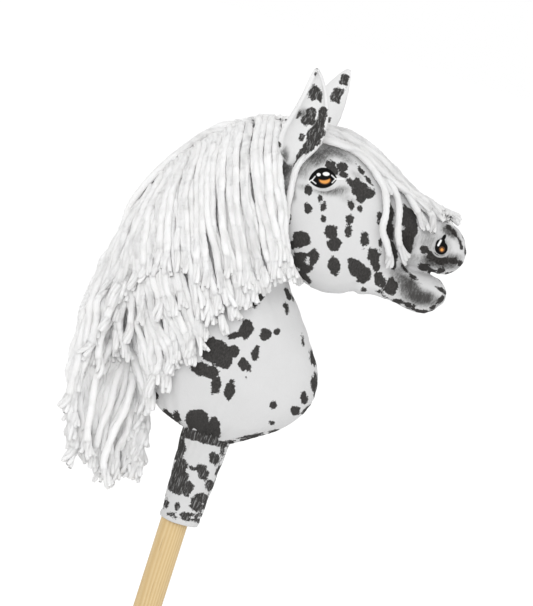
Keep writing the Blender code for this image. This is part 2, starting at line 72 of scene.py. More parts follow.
# The stuffed forms, in millimetres over the hem: each row has one edge's x and z, the other edge's
# x and z, and half the width
# Neck: back edge and front edge, from the base up
NECK_ROWS = np.array((
    (-24, 92, 29, 90.5, 19), (-45, 99.5, 52, 104, 32), (-61, 108, 74, 119, 40), (-78, 130, 90, 138, 46),
    (-94, 156, 96, 160, 50), (-108, 185, 91, 184, 52), (-119, 215, 76, 211, 52),
    (-127, 249, 58, 237, 50), (-127, 282, 41, 262, 47), (-115, 318, 33, 286, 44),
    (-95, 352, 36, 311, 41), (-72, 380, 42, 335, 38), (-45, 401, 46, 359, 34), (-17, 410, 46, 384, 26),
    (4, 411, 42, 400, 14),
)) / 1000
# Face: top edge and bottom edge, from the poll to the nose
FACE_ROWS = np.array((
    (-4, 402, 6, 335, 22), (4, 411, 14, 308, 33), (17, 418.5, 28, 286, 40), (34, 422, 45, 271, 44),
    (53, 421, 64, 265, 45), (73, 415.5, 86, 266.5, 42), (91, 407, 104, 275, 37),
    (108, 396, 118, 294, 31), (127, 383.5, 132, 313, 27), (146, 377.5, 149, 319, 25),
    (165, 373, 165, 319, 25.5), (179, 368.5, 179, 319.5, 25), (189.5, 359.5, 189, 325, 20),
    (195, 350, 195, 334, 11), (196.8, 345, 196.8, 339, 4),
)) / 1000
# Lower jaw: top edge and bottom edge, from the cheek to the lip
JAW_ROWS = np.array((
    (88, 300, 90, 277, 18), (104, 310, 106, 273.5, 24), (121, 314, 122, 278, 23),
    (138, 316, 139, 279, 21), (155, 316, 155, 276.5, 20), (171, 315.5, 170.5, 275.5, 19.5),
    (182, 312, 180.5, 280.5, 16.5), (188, 305, 188, 290, 11), (190.3, 299.5, 190.3, 296, 4),
)) / 1000
FULLNESS = 2.3
FORM_STEPS = 5
FORM_SIDES = 56

# The cloth: voxels of the fine and the coarse skin, how often each is eased, and how far the
# stuffing may move the coarse skin and then swell or sink the fine one
SKIN_VOXEL, SKIN_EASED = 0.0019, 5
PUFF_VOXEL, PUFF_EASED = 0.006, 2
PUFF_CAP = 0.005
SWELL_CAP = 0.0035
STUFFING = {
    "quality": 6, "mass": 0.3, "tension_stiffness": 20, "compression_stiffness": 20,
    "bending_stiffness": 0.6, "use_pressure": True, "uniform_pressure_force": 4,
}
STUFFING_FRAMES = 20

# Printed spots: centre across and down the photograph, half sizes, turn in degrees, and a 1 where
# the spot is boxy
FACE_SPOTS = (
    (309, 190, 4, 5, 0), (309, 208.4, 3.9, 5.3, 0), (321, 198.4, 2.7, 3.9, -8), (323.5, 206, 3.3, 5, 0),
    (323.4, 219.5, 3, 3.6, 0), (303, 238, 9, 8, 25), (298, 244, 6, 6, 0), (331, 232, 6.5, 8, 0),
    (334, 243, 7, 7, 0), (303, 258, 11, 7.5, 10), (308, 265, 10, 6, -60), (297, 264, 6, 8, -30),
    (314, 255, 6, 7, 0), (334, 265, 6, 10, -8), (356, 267, 8, 9, -20), (363, 274, 8, 9, 20),
    (352, 262, 5, 5, 0), (349.3, 219, 3.4, 6, 8), (348, 230, 4, 6, 10), (350.5, 204.6, 3.3, 4.3, -30),
    (358.6, 209, 2.7, 3.8, -20), (363.6, 239, 4.5, 8.5, 0), (372.5, 256, 6, 9, -10),
    (376, 267, 4, 5, -30), (290.4, 219.6, 2.5, 8, 0), (363.6, 289.6, 3, 2.7, 0), (291.5, 262, 3, 6, 0),
    (305, 276, 4, 8, -35),
    # Brow
    (330, 166, 5, 5.5, 10), (334, 171, 6, 4, 30), (342, 168, 5.5, 6, 20), (343, 174.5, 5, 3.5, 15),
    (352, 184, 7, 4, 30), (360, 190, 9, 8, 20), (369, 193.5, 5.5, 5.5, 10), (360, 198, 5, 4.5, 0),
    (357, 180.5, 2.6, 3.2, 0), (362, 171, 2.6, 5.5, -25), (367.5, 179.5, 2.4, 6.5, -38),
    (372, 184, 2.5, 1.6, 20), (351, 157, 5.5, 1, 40), (385, 188, 7.5, 1.5, 55),
    # Bridge of the nose
    (403, 211, 5.5, 8, -20), (408, 218, 9, 11, -10), (411, 229, 7, 9, 0), (407, 238, 7.5, 11, 0),
    (408.5, 248, 4.5, 6, 0), (389, 215, 4, 16, -4), (389, 230, 4.5, 13, 0), (393, 250, 3.4, 9, -15),
    (393.5, 262, 3.4, 8, 0), (378.4, 217.6, 2, 5.5, 0), (379.5, 243, 1.8, 5.5, 0),
    (420, 200, 9, 2.2, 35), (436, 211, 8, 2.2, 33),
    # Upper lip
    (424.5, 250, 5, 4, 10), (432, 255.5, 7, 4, 30), (441, 260, 10, 4.2, 5), (452, 261, 8, 3.4, 5),
    (461, 263.5, 3.2, 3, 0), (424.5, 267, 7, 4.4, 20), (431, 270, 4, 2.6, 15), (440.5, 270, 4.2, 3, 0),
    (448.5, 227, 4.2, 2.4, 20), (455, 232.5, 4.8, 1.8, 50), (460, 240.5, 5, 1.9, 68),
    (462, 246, 4, 1.6, 80), (461, 228, 5, 1.6, 50), (465.4, 238, 6, 1.6, 68), (467, 250, 6, 1.6, 88),
    (449, 273, 5, 1.4, -8),
    # Lower jaw
    (379, 279, 5, 8.5, -10), (383, 283, 4, 6, 0), (392, 286, 5.6, 9.5, -6), (389, 291, 6, 4, 20),
    (382, 293.6, 5.6, 2, 38), (399, 301, 6.5, 2.6, 22), (409, 305, 8, 2.6, 22), (422, 311.3, 9, 2.4, 8),
    (433, 307.5, 5, 2.2, -35), (441, 299.5, 7, 2.2, -48), (445.3, 293, 3, 2, -70),
    (440.5, 289.4, 4.6, 2, 33), (405.5, 269, 6.6, 1.7, 52), (413.5, 276.8, 6, 2, 38),
    (440.5, 279, 5, 1.5, 45),
)
NECK_SPOTS = (
    (246, 329, 7, 10, 0), (235, 335, 8, 4, -10), (265, 334, 6, 6.3, 10), (276, 332, 2.6, 3.6, 25),
    (255, 353, 4, 7, 5), (242.5, 364, 4.4, 6.3, 0), (248.6, 367, 3, 5, 0), (214, 350, 13, 13, 30),
    (224, 356, 9, 13, 0), (233, 351, 6, 7, 0), (201, 368, 10, 7, 15), (212, 372, 8, 7, 0),
    (216, 384.5, 5.5, 10, 5), (229.5, 389.5, 5.8, 10, 10), (245.6, 377.5, 1, 1, 0), (192, 434, 8, 6, 25),
    (272.6, 404.7, 4.4, 5, 0), (272, 424, 2.8, 2.8, 0), (304, 398, 4, 6, -10), (296, 411, 5, 5, 0),
    (311.5, 358, 3, 9, -8), (313.5, 384, 3, 11, 0), (302.5, 340, 1.6, 5, -5), (287.5, 308, 2.6, 8, 0),
    (291, 294, 3, 6, -20), (260, 298, 6, 3.4, -30), (254, 305, 3, 3, 0), (197, 422, 13, 12, 0),
    (205, 434, 9, 7, 10), (213.7, 429.6, 6.6, 13, -12), (175.6, 418.5, 3.6, 7, -20), (173, 425, 10, 3.6, 42),
    (226, 444, 12, 3, 0), (252, 438, 14, 2.6, -9), (275, 433, 6, 1.6, -10), (167, 416, 3, 6, -50),
    (152, 396, 3, 6, -50), (180, 433, 7, 3, 30), (205, 441, 9, 3.5, 5), (308, 412, 4, 8, 30),
)
SLEEVE_SPOTS = (
    (202, 437, 26, 5.4, 15, 1), (179.5, 449, 5.5, 13, 12), (181, 466, 7, 8, 0), (178, 480, 10.5, 15, 5),
    (188, 487, 6, 7, 0), (214.2, 458.5, 5.5, 7, -10), (202.5, 472, 6, 8.5, -15),
    (193, 468.5, 4, 2.6, 20), (209.8, 486, 4.6, 5.4, 0), (200, 499, 8.5, 6, -10), (197, 507, 8, 4, 0),
    (186.5, 495, 3, 2.4, 0), (166.3, 502.6, 2.8, 5.6, 8), (177, 505.8, 2.6, 4, 0),
    (190, 515, 12, 2.4, 0), (172, 514, 4, 2, 0), (187, 519.5, 5, 2.2, 5), (197, 520.5, 4.5, 2.4, 5),
    (176, 518, 3, 1.6, 10), (207, 507, 3, 6, 0), (222.5, 450, 2.6, 9, 5), (218, 474, 2, 9, 8),
    (232, 470, 3, 8, 0), (228, 492, 4, 6, 0), (164, 492, 1.6, 5, 8),
)
# White gaps inside spots; the last, a thin pale slit in the patch at the neck's base, is a painted highlight
# on a gather
SPOT_GAPS_AND_HIGHLIGHT = (
    (309, 260, 2, 3, 0), (294, 255, 1.2, 3, 0), (298.5, 269, 2.4, 2.2, 0), (300, 248.6, 6, 1.6, -8),
    (208.6, 417, 1.2, 6, -8),
)
# Grey shading: centre, half sizes, turn, strength. Most are the print's airbrushed greys
PRINT_GREYS_AND_SHADE = (
    (318, 158, 15, 9, -32, 0.8), (334, 151, 13, 6, 15, 0.6), (347, 158, 9, 5, 30, 0.45),
    (303, 172, 7, 9, -35, 0.5), (337, 191, 13, 5, -8, 0.62), (324, 190.8, 10, 3.6, 0, 0.55),
    # Among these, the greys at 284 to 293 across, at the cheek's back edge under the ear's foot and beside
    # the cheek strand and the mane, are painted shade
    (293, 192, 4, 10, -20, 0.6), (305, 187.5, 8, 3, 12, 0.45), (284, 170, 9, 9, 0, 0.95),
    (285, 195, 4, 22, 0, 0.7), (357, 176, 8, 4, 35, 0.35), (349, 200, 12, 5, 20, 0.3),
    (389, 235, 8, 26, -3, 0.6), (386, 205, 6, 12, 0, 0.35), (408, 240, 9, 14, 0, 0.7),
    (426, 240, 8, 12, 0, 0.45), (430, 260, 10, 7, 10, 0.8), (445, 264, 16, 5.5, 6, 0.85),
    (452, 232.5, 6.5, 5, 40, 0.85), (446, 229, 6, 5, 30, 0.7), (441, 247, 11, 12, 0, 0.55),
    (453, 258, 10, 5, 0, 0.7), (458, 238, 4, 8, -25, 0.3), (412, 258, 9, 6, 0, 0.35),
    (420, 297, 20, 8.5, 14, 1.0), (411, 285, 7, 11, -25, 0.95), (402, 281, 6, 12, -15, 0.7),
    (404, 266, 5, 5, 0, 0.5), (438, 284, 9, 5, 25, 0.2), (394, 276, 6, 8, 0, 0.4),
)


# The camera, and the way between a point of the horse and its place on the photograph
def photo_place(points, mirrored=True):
    """Where points show on the photograph, in pixels. The far side takes its mirror image's place."""
    near = np.array(points, float)
    if mirrored:
        near[:, 1] = -np.abs(near[:, 1])
    way = near - np.array(EYE_POINT)
    across, rise, depth = (way @ np.array(axis) for axis in (RIGHT, UP, FORWARD))
    return np.stack([PHOTO_WIDE / 2 + across / depth * PIXELS, PHOTO_TALL / 2 - rise / depth * PIXELS], 1)


def sight(u, v):
    """The direction from the camera through a pixel of the photograph."""
    across = RIGHT * ((u - PHOTO_WIDE / 2) / PIXELS)
    return (FORWARD + across - UP * ((v - PHOTO_TALL / 2) / PIXELS)).normalized()


def set_all(target, **settings):
    """Sets several fields of one thing, in their order."""
    for name, value in settings.items():
        setattr(target, name, value)
    return target


def linked(name, data):
    """A new object in the scene."""
    obj = bpy.data.objects.new(name, data)
    bpy.context.scene.collection.objects.link(obj)
    return obj


def make_camera():
    lens = bpy.data.cameras.new("camera")
    lens.sensor_width = 36.0
    lens.lens = lens.sensor_width * PIXELS / PHOTO_TALL
    camera = linked("camera", lens)
    axes = Matrix((RIGHT, UP, -FORWARD)).transposed().to_4x4()
    camera.matrix_world = Matrix.Translation(EYE_POINT) @ axes
    bpy.context.scene.camera = camera


# Materials
def maths(operation, swapped=False):
    def combine(self, other=0.0):
        pair = (other, self) if swapped else (self, other)
        return self.looks.node("ShaderNodeMath", {"operation": operation}, dict(enumerate(pair)))

    return combine


class Wire:
    """A socket of a material. Arithmetic on it, with numbers or other wires, adds Math nodes."""

    def __init__(self, looks, socket):
        self.looks = looks
        self.socket = socket

    __add__ = maths("ADD")
    __sub__ = maths("SUBTRACT")
    __rsub__ = maths("SUBTRACT", swapped=True)
    __mul__ = maths("MULTIPLY")
    __truediv__ = maths("DIVIDE")
    __pow__ = maths("POWER")
    __abs__ = maths("ABSOLUTE")
    least = maths("MINIMUM")
    most = maths("MAXIMUM")
    sine = maths("SINE")

    def band(self, start, end, low=0.0, high=1.0):
        """Eases from low where this is at start to high where it is at end."""
        values = {0: self, 1: start, 2: end, 3: low, 4: high}
        return self.looks.node("ShaderNodeMapRange", {"interpolation_type": "SMOOTHSTEP"}, values)


class Looks:
    """One finish, or the room's light: its shader, and the one method that makes its nodes."""

    def __init__(self, name, kind="materials", shader="Principled BSDF", **constants):
        self.material = getattr(bpy.data, kind).new(name)
        self.material.use_nodes = True
        self.tree = self.material.node_tree
        self.shader = self.tree.nodes[shader]
        for socket, value in constants.items():
            self.set(socket.replace("_", " "), value)

    def join(self, socket, value):
        if isinstance(value, Wire):
            self.tree.links.new(value.socket, socket)
        else:
            socket.default_value = value

    def set(self, name, value):
        self.join(self.shader.inputs[name], value)

    def node(self, kind, settings=None, values=None, out=0):
        made = set_all(self.tree.nodes.new(kind), **(settings or {}))
        for name, value in (values or {}).items():
            self.join(made.inputs[name], value)
        return Wire(self, made.outputs[out])

    def stored(self, name):
        """A value kept on the mesh's points."""
        return self.node("ShaderNodeAttribute", {"attribute_name": name}, out="Fac")

    def split(self, vector):
        return [self.node("ShaderNodeSeparateXYZ", {}, {0: vector}, out=axis) for axis in "XYZ"]

    def place(self, *stretch):
        """The point's place on the piece at rest, stretched along each axis."""
        spot = self.node("ShaderNodeTexCoord", out="Object")
        if not stretch:
            return spot
        return self.node("ShaderNodeVectorMath", {"operation": "MULTIPLY"}, {0: spot, 1: stretch})

    def noise(self, vector, scale, detail, rough):
        values = {"Vector": vector, "Scale": scale, "Detail": detail, "Roughness": rough}
        return self.node("ShaderNodeTexNoise", {}, values)

    def mix(self, factor, first, second):
        values = {0: factor, 6: first, 7: second}
        return self.node("ShaderNodeMix", {"data_type": "RGBA"}, values, out=2)

    def raise_up(self, height, distance, strength):
        """Bumps the surface by a height from 0 to 1, this many metres deep."""
        values = {"Height": height, "Distance": distance, "Strength": strength}
        self.set("Normal", self.node("ShaderNodeBump", {}, values))

    def show_instead(self, factor, other, output):
        """Lets another shader show in place of this one, by a factor."""
        own = Wire(self, self.shader.outputs[0])
        mixed = self.node("ShaderNodeMixShader", {}, {0: factor, 1: own, 2: other})
        self.tree.links.new(mixed.socket, self.tree.nodes[output].inputs[0])


def grey(value):
    return (value, value, value, 1)


# Meshes from arrays
def mesh_object(name, points, faces):
    """A smooth object from its points and its faces."""
    mesh = bpy.data.meshes.new(name)
    mesh.from_pydata(points, [], faces)
    mesh.validate()
    mesh.shade_smooth()
    return linked(name, mesh)


def store_print(obj, places, spots, shading):
    """Keeps on each point its place on the photograph, its way outside the spots and its shading."""
    fields = {"across": places[:, 0], "down": places[:, 1], "spot": spots, "shading": shading}
    for name, values in fields.items():
        kept = obj.data.attributes.new(name, "FLOAT", "POINT")
        kept.data.foreach_set("value", np.asarray(values, np.float32))


def vectors(items, field="co"):
    """A vector of each of a mesh's points or normals."""
    found = np.empty(len(items) * 3, np.float32)
    items.foreach_get(field, found)
    return found.reshape(-1, 3).astype(float)


def move_points(mesh, points):
    mesh.vertices.foreach_set("co", np.asarray(points, np.float32).ravel())
    mesh.update()


def applied(obj):
    """Bakes the object's modifiers into its mesh."""
    graph = bpy.context.evaluated_depsgraph_get()
    mesh = bpy.data.meshes.new_from_object(obj.evaluated_get(graph))
    old = obj.data
    obj.modifiers.clear()
    obj.data = mesh
    bpy.data.meshes.remove(old)
    return obj


def remove(obj):
    mesh = obj.data
    bpy.data.objects.remove(obj)
    bpy.data.meshes.remove(mesh)


def curve_at(rows, positions):
    """Rows of values at positions along a table, on smooth curves through them all."""
    last = len(rows) - 1
    positions = np.clip(positions, 0, last)
    i = np.minimum(positions.astype(int), last - 1)
    t = (positions - i)[:, None]
    a, b, c, d = (rows[np.clip(i + k, 0, last)] for k in (-1, 0, 1, 2))
    return b + 0.5 * t * (c - a + t * (2 * a - 5 * b + 4 * c - d + t * (3 * b - a - 3 * c + d)))


def between(value, stops, rows):
    """The row of a table at a value, on straight lines between its stops."""
    return np.stack([np.interp(value, stops, column) for column in rows.T], -1)


def gone_along(line):
    """How far along a line each of its points is."""
    return np.concatenate([[0], np.cumsum(np.linalg.norm(np.diff(line, axis=0), axis=1))])


def ways_along(line):
    """The direction of a line at each of its points."""
    ways = np.gradient(line, axis=0)
    return ways / np.linalg.norm(ways, axis=1, keepdims=True)


def upright(x, z):
    """Points or directions in the middle plane of the horse."""
    return np.stack([x, np.zeros(len(x)), z], 1)


def form_points(rows, positions, angles):
    """Points round a stuffed form. Angle 0 is at a row's first edge, a quarter turn at -Y."""
    table = curve_at(rows, positions)
    first = upright(table[:, 0], table[:, 1] + HEM)
    other = upright(table[:, 2], table[:, 3] + HEM)
    reach, swell = (np.sign(k) * np.abs(k) ** (2 / FULLNESS) for k in (np.cos(angles), np.sin(angles)))
    points = ((first + other) / 2)[:, None] + ((first - other) / 2)[:, None] * reach[None, :, None]
    points[:, :, 1] -= table[:, 4:5] * swell
    return points


def loft_faces(rings, sides):
    """The quads between rings of points numbered ring by ring."""
    ring, side = np.meshgrid(np.arange(rings - 1), np.arange(sides), indexing="ij")
    after = (side + 1) % sides
    low, high = ring * sides, (ring + 1) * sides
    return np.stack([low + side, low + after, high + after, high + side], -1).reshape(-1, 4)


# The stuffed cloth
def stuffed_forms():
    """The closed forms of neck, face and jaw, still apart, in one object."""
    bm = bmesh.new()
    angles = np.arange(FORM_SIDES) * 2 * pi / FORM_SIDES
    for rows in (NECK_ROWS, FACE_ROWS, JAW_ROWS):
        positions = np.linspace(0, len(rows) - 1, (len(rows) - 1) * FORM_STEPS + 1)
        points = form_points(rows, positions, angles).reshape(-1, 3)
        corners = [bm.verts.new(point) for point in points]
        for quad in loft_faces(len(positions), FORM_SIDES):
            bm.faces.new([corners[i] for i in quad])
        bm.faces.new(corners[:FORM_SIDES])
        bm.faces.new(corners[-FORM_SIDES:])
    bmesh.ops.recalc_face_normals(bm, faces=bm.faces)
    mesh = bpy.data.meshes.new("stuffed")
    bm.to_mesh(mesh)
    bm.free()
    return linked("stuffed", mesh)


def remeshed(obj, name, voxel, eased):
    """A copy with one even skin, its joins eased."""
    copy = linked(name, obj.data.copy())
    even = copy.modifiers.new("even skin", "REMESH")
    set_all(even, mode="VOXEL", voxel_size=voxel, use_smooth_shade=True)
    set_all(copy.modifiers.new("ease", "SMOOTH"), factor=0.5, iterations=eased)
    applied(copy).data.shade_smooth()
    return copy


def puffed(stuffed):
    """How the stuffing pushes the cloth out: a coarse skin's points, and how far each moves."""
    skin = remeshed(stuffed, "puff", PUFF_VOXEL, PUFF_EASED)
    rest = vectors(skin.data.vertices)
    cloth = skin.modifiers.new("stuffing", "CLOTH")
    set_all(cloth.settings, **STUFFING)
    cloth.settings.effector_weights.gravity = 0
    cloth.collision_settings.use_collision = False
    scene = bpy.context.scene
    for number in range(1, STUFFING_FRAMES + 1):
        scene.frame_set(number)
    shown = skin.evaluated_get(bpy.context.evaluated_depsgraph_get())
    shift = vectors(shown.data.vertices) - rest
    scene.frame_set(1)
    remove(skin)
    far = np.linalg.norm(shift, axis=1, keepdims=True)
    return rest, shift * np.minimum(1, PUFF_CAP / np.maximum(far, 1e-9))


def near_values(sources, values, points):
    """Values at points, mixed from the four nearest source points."""
    tree = KDTree(len(sources))
    for i, place in enumerate(sources):
        tree.insert(place, i)
    tree.balance()
    mixed = np.empty((len(points), values.shape[1]))
    for i, point in enumerate(points):
        found = tree.find_n(point, 4)
        weights = np.array([1 / (far + 1e-6) for _, _, far in found])
        mixed[i] = weights @ values[[index for _, index, _ in found]] / weights.sum()
    return mixed


def turned(u, v, centre, degrees):
    """Places measured from a centre, along and beside an axis that is turned by an angle."""
    c, s = cos(radians(degrees)), sin(radians(degrees))
    du, dv = u - centre[0], v - centre[1]
    return du * c + dv * s, dv * c - du * s


def spot_field(places, spots):
    """How many pixels each place lies outside the nearest spot, below 0 inside one."""
    nearest = np.full(len(places), 60.0)
    for across, down, wide, tall, turn, *boxy in spots:
        along, beside = turned(*places.T, (across, down), turn)
        power = 5 if boxy else 2
        away = (np.abs(along) / wide) ** power + (np.abs(beside) / tall) ** power
        nearest = np.minimum(nearest, (away ** (1 / power) - 1) * min(wide, tall))
    return nearest


def grey_field(places, greys):
    """How grey the shading is at each place, from 0 to 1."""
    total = np.zeros(len(places))
    for across, down, wide, tall, turn, strength in greys:
        along, beside = turned(*places.T, (across, down), turn)
        one = strength * np.exp(-0.9 * ((along / wide) ** 2 + (beside / tall) ** 2) ** 1.5)
        total = total + one - total * one
    return total


def warped(points, places):
    """The print's places, pushed about on the far side so that it isn't a mirror image."""
    far = np.clip(points[:, 1] / 0.02, 0, 1)
    x, z = points[:, 0], points[:, 2]
    shift = np.stack([9 * np.sin(z * 47 + 1) + 4 * np.sin(x * 90), 8 * np.sin(x * 53 + z * 21)], 1)
    return places + shift * far[:, None]


def bored(skin):
    """Cuts the pocket that the stick goes up into, closed at its top."""
    bpy.ops.mesh.primitive_cylinder_add(
        vertices=64, radius=POCKET_BORE, depth=POCKET_TOP - HEM, location=(0, 0, (POCKET_TOP + HEM) / 2)
    )
    bore = bpy.context.object
    cut = skin.modifiers.new("pocket", "BOOLEAN")
    set_all(cut, operation="DIFFERENCE", solver="EXACT", object=bore)
    applied(skin)
    remove(bore)


def swelling(stuffed, points, normals):
    """How far the stuffing swells or sinks the skin at each point. The open mouth keeps its shape."""
    rest, shift = puffed(stuffed)
    shift -= shift.mean(axis=0)
    out = (near_values(rest, shift, points) * normals).sum(1)
    out -= out.mean()
    mouth = 1 - 0.85 * np.clip((points[:, 0] - 0.1) / 0.03, 0, 1)
    return np.clip(out, -SWELL_CAP, SWELL_CAP) * mouth


def needlework(points):
    """The height of gathers over the sleeve's seam, of the puckered middle seam and of soft swells."""
    x, y, z = points.T
    height = z - HEM
    round_stick = np.arctan2(y, x)
    near_base = np.exp(-np.clip(height - 0.095, 0, 1) / 0.022)
    gathers = 0.0015 * np.sin(17 * round_stick + 2 * np.sin(5 * round_stick)) * near_base
    wander = np.sin(x * 160 + 3) + np.sin(z * 130)
    puckers = 0.0005 * np.sin((x + z) * 420 + 2 * wander) * np.exp(-np.abs(y) / 0.006)
    seam = -0.0009 * np.exp(-((y / 0.0016) ** 2))
    swells = 0.0006 * np.sin(x * 70 + 3 * np.sin(z * 40)) * np.sin(z * 60 + y * 50)
    return gathers + puckers + seam + swells


def make_skin():
    """The stuffed cloth over neck, face and jaw, as one tight skin with seams and gathers."""
    stuffed = stuffed_forms()
    skin = remeshed(stuffed, "cloth_head", SKIN_VOXEL, SKIN_EASED)
    bored(skin)
    points = vectors(skin.data.vertices)
    # The print is laid out on the cloth before the stuffing moves it, and the pocket stays as it is
    places = photo_place(points)
    printed = warped(points, places)
    loose = np.clip((np.hypot(points[:, 0], points[:, 1]) - POCKET_BORE) / 0.008, 0, 1)
    loose = np.where(points[:, 2] < POCKET_TOP + 0.004, loose, 1.0)
    normals = vectors(skin.data.vertex_normals, "vector")
    points += normals * (swelling(stuffed, points, normals) * loose)[:, None]
    move_points(skin.data, points)
    remove(stuffed)
    normals = vectors(skin.data.vertex_normals, "vector")
    points += normals * (needlework(points) * loose)[:, None]
    move_points(skin.data, points)
    spots = spot_field(printed, FACE_SPOTS + NECK_SPOTS)
    spots = np.maximum(spots, -spot_field(printed, SPOT_GAPS_AND_HIGHLIGHT))
    store_print(skin, places, spots, grey_field(places, PRINT_GREYS_AND_SHADE))
    return skin


def closest(tree, point):
    """The nearest point on the skin, the way out of it there and how far outside the point is."""
    place, normal, _, far = tree.find_nearest(point)
    return place, normal, far if (point - place).dot(normal) >= 0 else -far


# Yarn: its radius, the length of a twist, the spacing of its rings, and how much of it unravels
YARN = 0.0038
YARN_TWIST = 0.016
YARN_RINGS = 0.0024
YARN_FRAYED = 0.015
YARN_PLIES = 5
# Laying a strand: one step, how far ahead on its fall it aims, the most steps, the height over its
# place on the cloth below which it slides along, and the share of its way to the side in a step
YARN_STEP = 0.003
YARN_REACH = 0.008
YARN_STEPS = 160
YARN_SLIDES = 0.002
YARN_DRIFT = 0.12
# The spacing of points on a strand's fall
FALL_STEP = 0.002

# Falls of the mane: root's distance down the crest in millimetres, the tip's place on the photograph,
# and the strand's slant from the photograph's downright at its root and its tip, in degrees
SIDE_SHORT = (
    (-14, 292, 279, -14, 8), (0, 284, 268, -12, 12), (15, 275, 277, -14, 16), (25, 252, 278, -18, 8),
    (35, 240, 280, -24, 10), (51, 220, 290, -32, 8), (60, 199, 287, -38, 0), (70, 188, 272, -42, 6),
    (87, 166, 268, -48, 4), (110, 134, 289, -48, -6), (140, 112, 304, -42, -6), (165, 98, 338, -38, -2),
    (198, 90, 370, -36, 0), (233, 88, 402, -30, 0), (265, 94, 430, -22, 2), (297, 104, 452, -12, 0),
    (328, 120, 465, -4, 0),
)
SIDE_MIDDLE = (
    (-8, 291, 284, -14, 10), (15, 276, 288, -14, 16), (35, 250, 296, -24, 12), (51, 232, 306, -32, 14),
    (70, 206, 316, -42, 12), (87, 184, 320, -48, 8), (110, 158, 330, -48, 4), (140, 136, 348, -42, 0),
    (165, 120, 372, -38, 2), (198, 108, 396, -36, 4), (233, 104, 420, -28, 2), (265, 106, 444, -20, 0),
    (297, 112, 466, -10, 0), (328, 120, 478, -4, 0),
)
SIDE_LONG = (
    (-14, 295, 286, -14, 8), (0, 290, 285, -12, 12), (15, 283, 291, -14, 16), (25, 264, 298, -18, 14),
    (35, 254, 306, -22, 14), (51, 241, 316, -28, 14), (70, 224, 328, -34, 14), (87, 210, 342, -40, 14),
    (110, 196, 362, -42, 10), (140, 177, 384, -36, 10), (165, 157, 396, -28, 8),
    (198, 139, 418, -20, 4), (233, 131, 442, -14, 2), (265, 132, 462, -10, 0), (297, 128, 478, -6, 0),
    (328, 124, 484, -4, -2),
)
BACK = (
    (70, 112, 300, -52, -12), (87, 104, 318, -50, -12), (110, 93, 334, -48, -10),
    (127, 86, 356, -46, -8), (150, 80, 384, -44, -6), (175, 74, 404, -44, -4), (198, 69, 424, -44, -2),
    (233, 70, 444, -38, 0), (265, 79, 464, -28, 2), (297, 94, 476, -16, 0), (328, 112, 484, -6, 0),
)
# The mane's outline on the photograph, from the crest's hindmost place down
OUTLINE = ((118, 238), (106, 256), (91, 296), (81, 342), (73, 392), (66, 430))
# Layers of the mane: its falls, how many strands, height off the cloth in yarns and, behind the
# crest, how far they spread to the side
MANE_LAYERS = (
    ("under", SIDE_LONG, 46, 0.9, None),
    ("under", SIDE_LONG, 34, 1.4, None),
    ("over", SIDE_MIDDLE, 38, 1.8, None),
    ("over", SIDE_SHORT, 52, 2.4, None),
    ("under", BACK, 32, 1.6, 0.030),
    ("over", BACK, 28, 2.2, 0.040),
)
# Where the mane's tips are across, down the side and behind the crest
SIDE_ACROSS, BACK_ACROSS = -0.052, -0.020
# Strands on top of the crest: how many, their first and last root, where they leave the crest in
# metres down it, and how long they are
CREST_STRANDS = 10
CREST_FIRST, CREST_LAST, CREST_LEFT = 0.030, 0.140, 0.165
CREST_LENGTHS = (0.19, 0.24)
# How far the crest's line begins ahead of its zero behind the poll
CREST_START = 0.020


def crest_line():
    """Points down the crest, the way out from each and the distance along it from behind the poll."""
    rows = curve_at(NECK_ROWS, np.linspace(13.5, 3.0, 200))
    line = upright(rows[:, 0], rows[:, 1] + HEM)
    steps = ways_along(line)
    return line, upright(steps[:, 2], -steps[:, 0]), gone_along(line) - CREST_START


CREST_LINE, CREST_OUT, CREST_GONE = crest_line()


def crest(distance):
    """A place on the crest and the way out from it."""
    return [Vector(between(distance, CREST_GONE, rows)) for rows in (CREST_LINE, CREST_OUT)]


def photo_point(u, v, y):
    """The point on an upright plane along the horse that shows at a pixel of the photograph."""
    way = sight(u, v)
    return EYE_POINT + way * ((y - EYE_POINT.y) / way.y)


def slanted(degrees):
    """The direction on the photograph at an angle from straight down, towards its right."""
    return RIGHT * sin(radians(degrees)) - UP * cos(radians(degrees))


def hang_guide(dice, root, end, slants, wave):
    """A strand's fall from its root to its end, seen from the side."""
    far = (end - root).length
    first = root + slanted(slants[0]) * (far * 0.25)
    last = end - slanted(slants[1]) * (far * 0.42)
    t = np.linspace(0, 1, max(int(far / FALL_STEP), 12))[:, None]
    shares = (1 - t) ** 3, 3 * (1 - t) ** 2 * t, 3 * (1 - t) * t**2, t**3
    line = sum(share * np.array(point) for share, point in zip(shares, (root, first, last, end)))
    length = dice.uniform(0.05, 0.10)
    swing = wave * t**0.8 * np.sin(2 * pi * t * far / length + dice.uniform(0, 6))
    swing += wave * 0.35 * t * np.sin(2 * pi * t * far / (length * 0.4) + dice.uniform(0, 6))
    return line + swing * np.array(RIGHT)


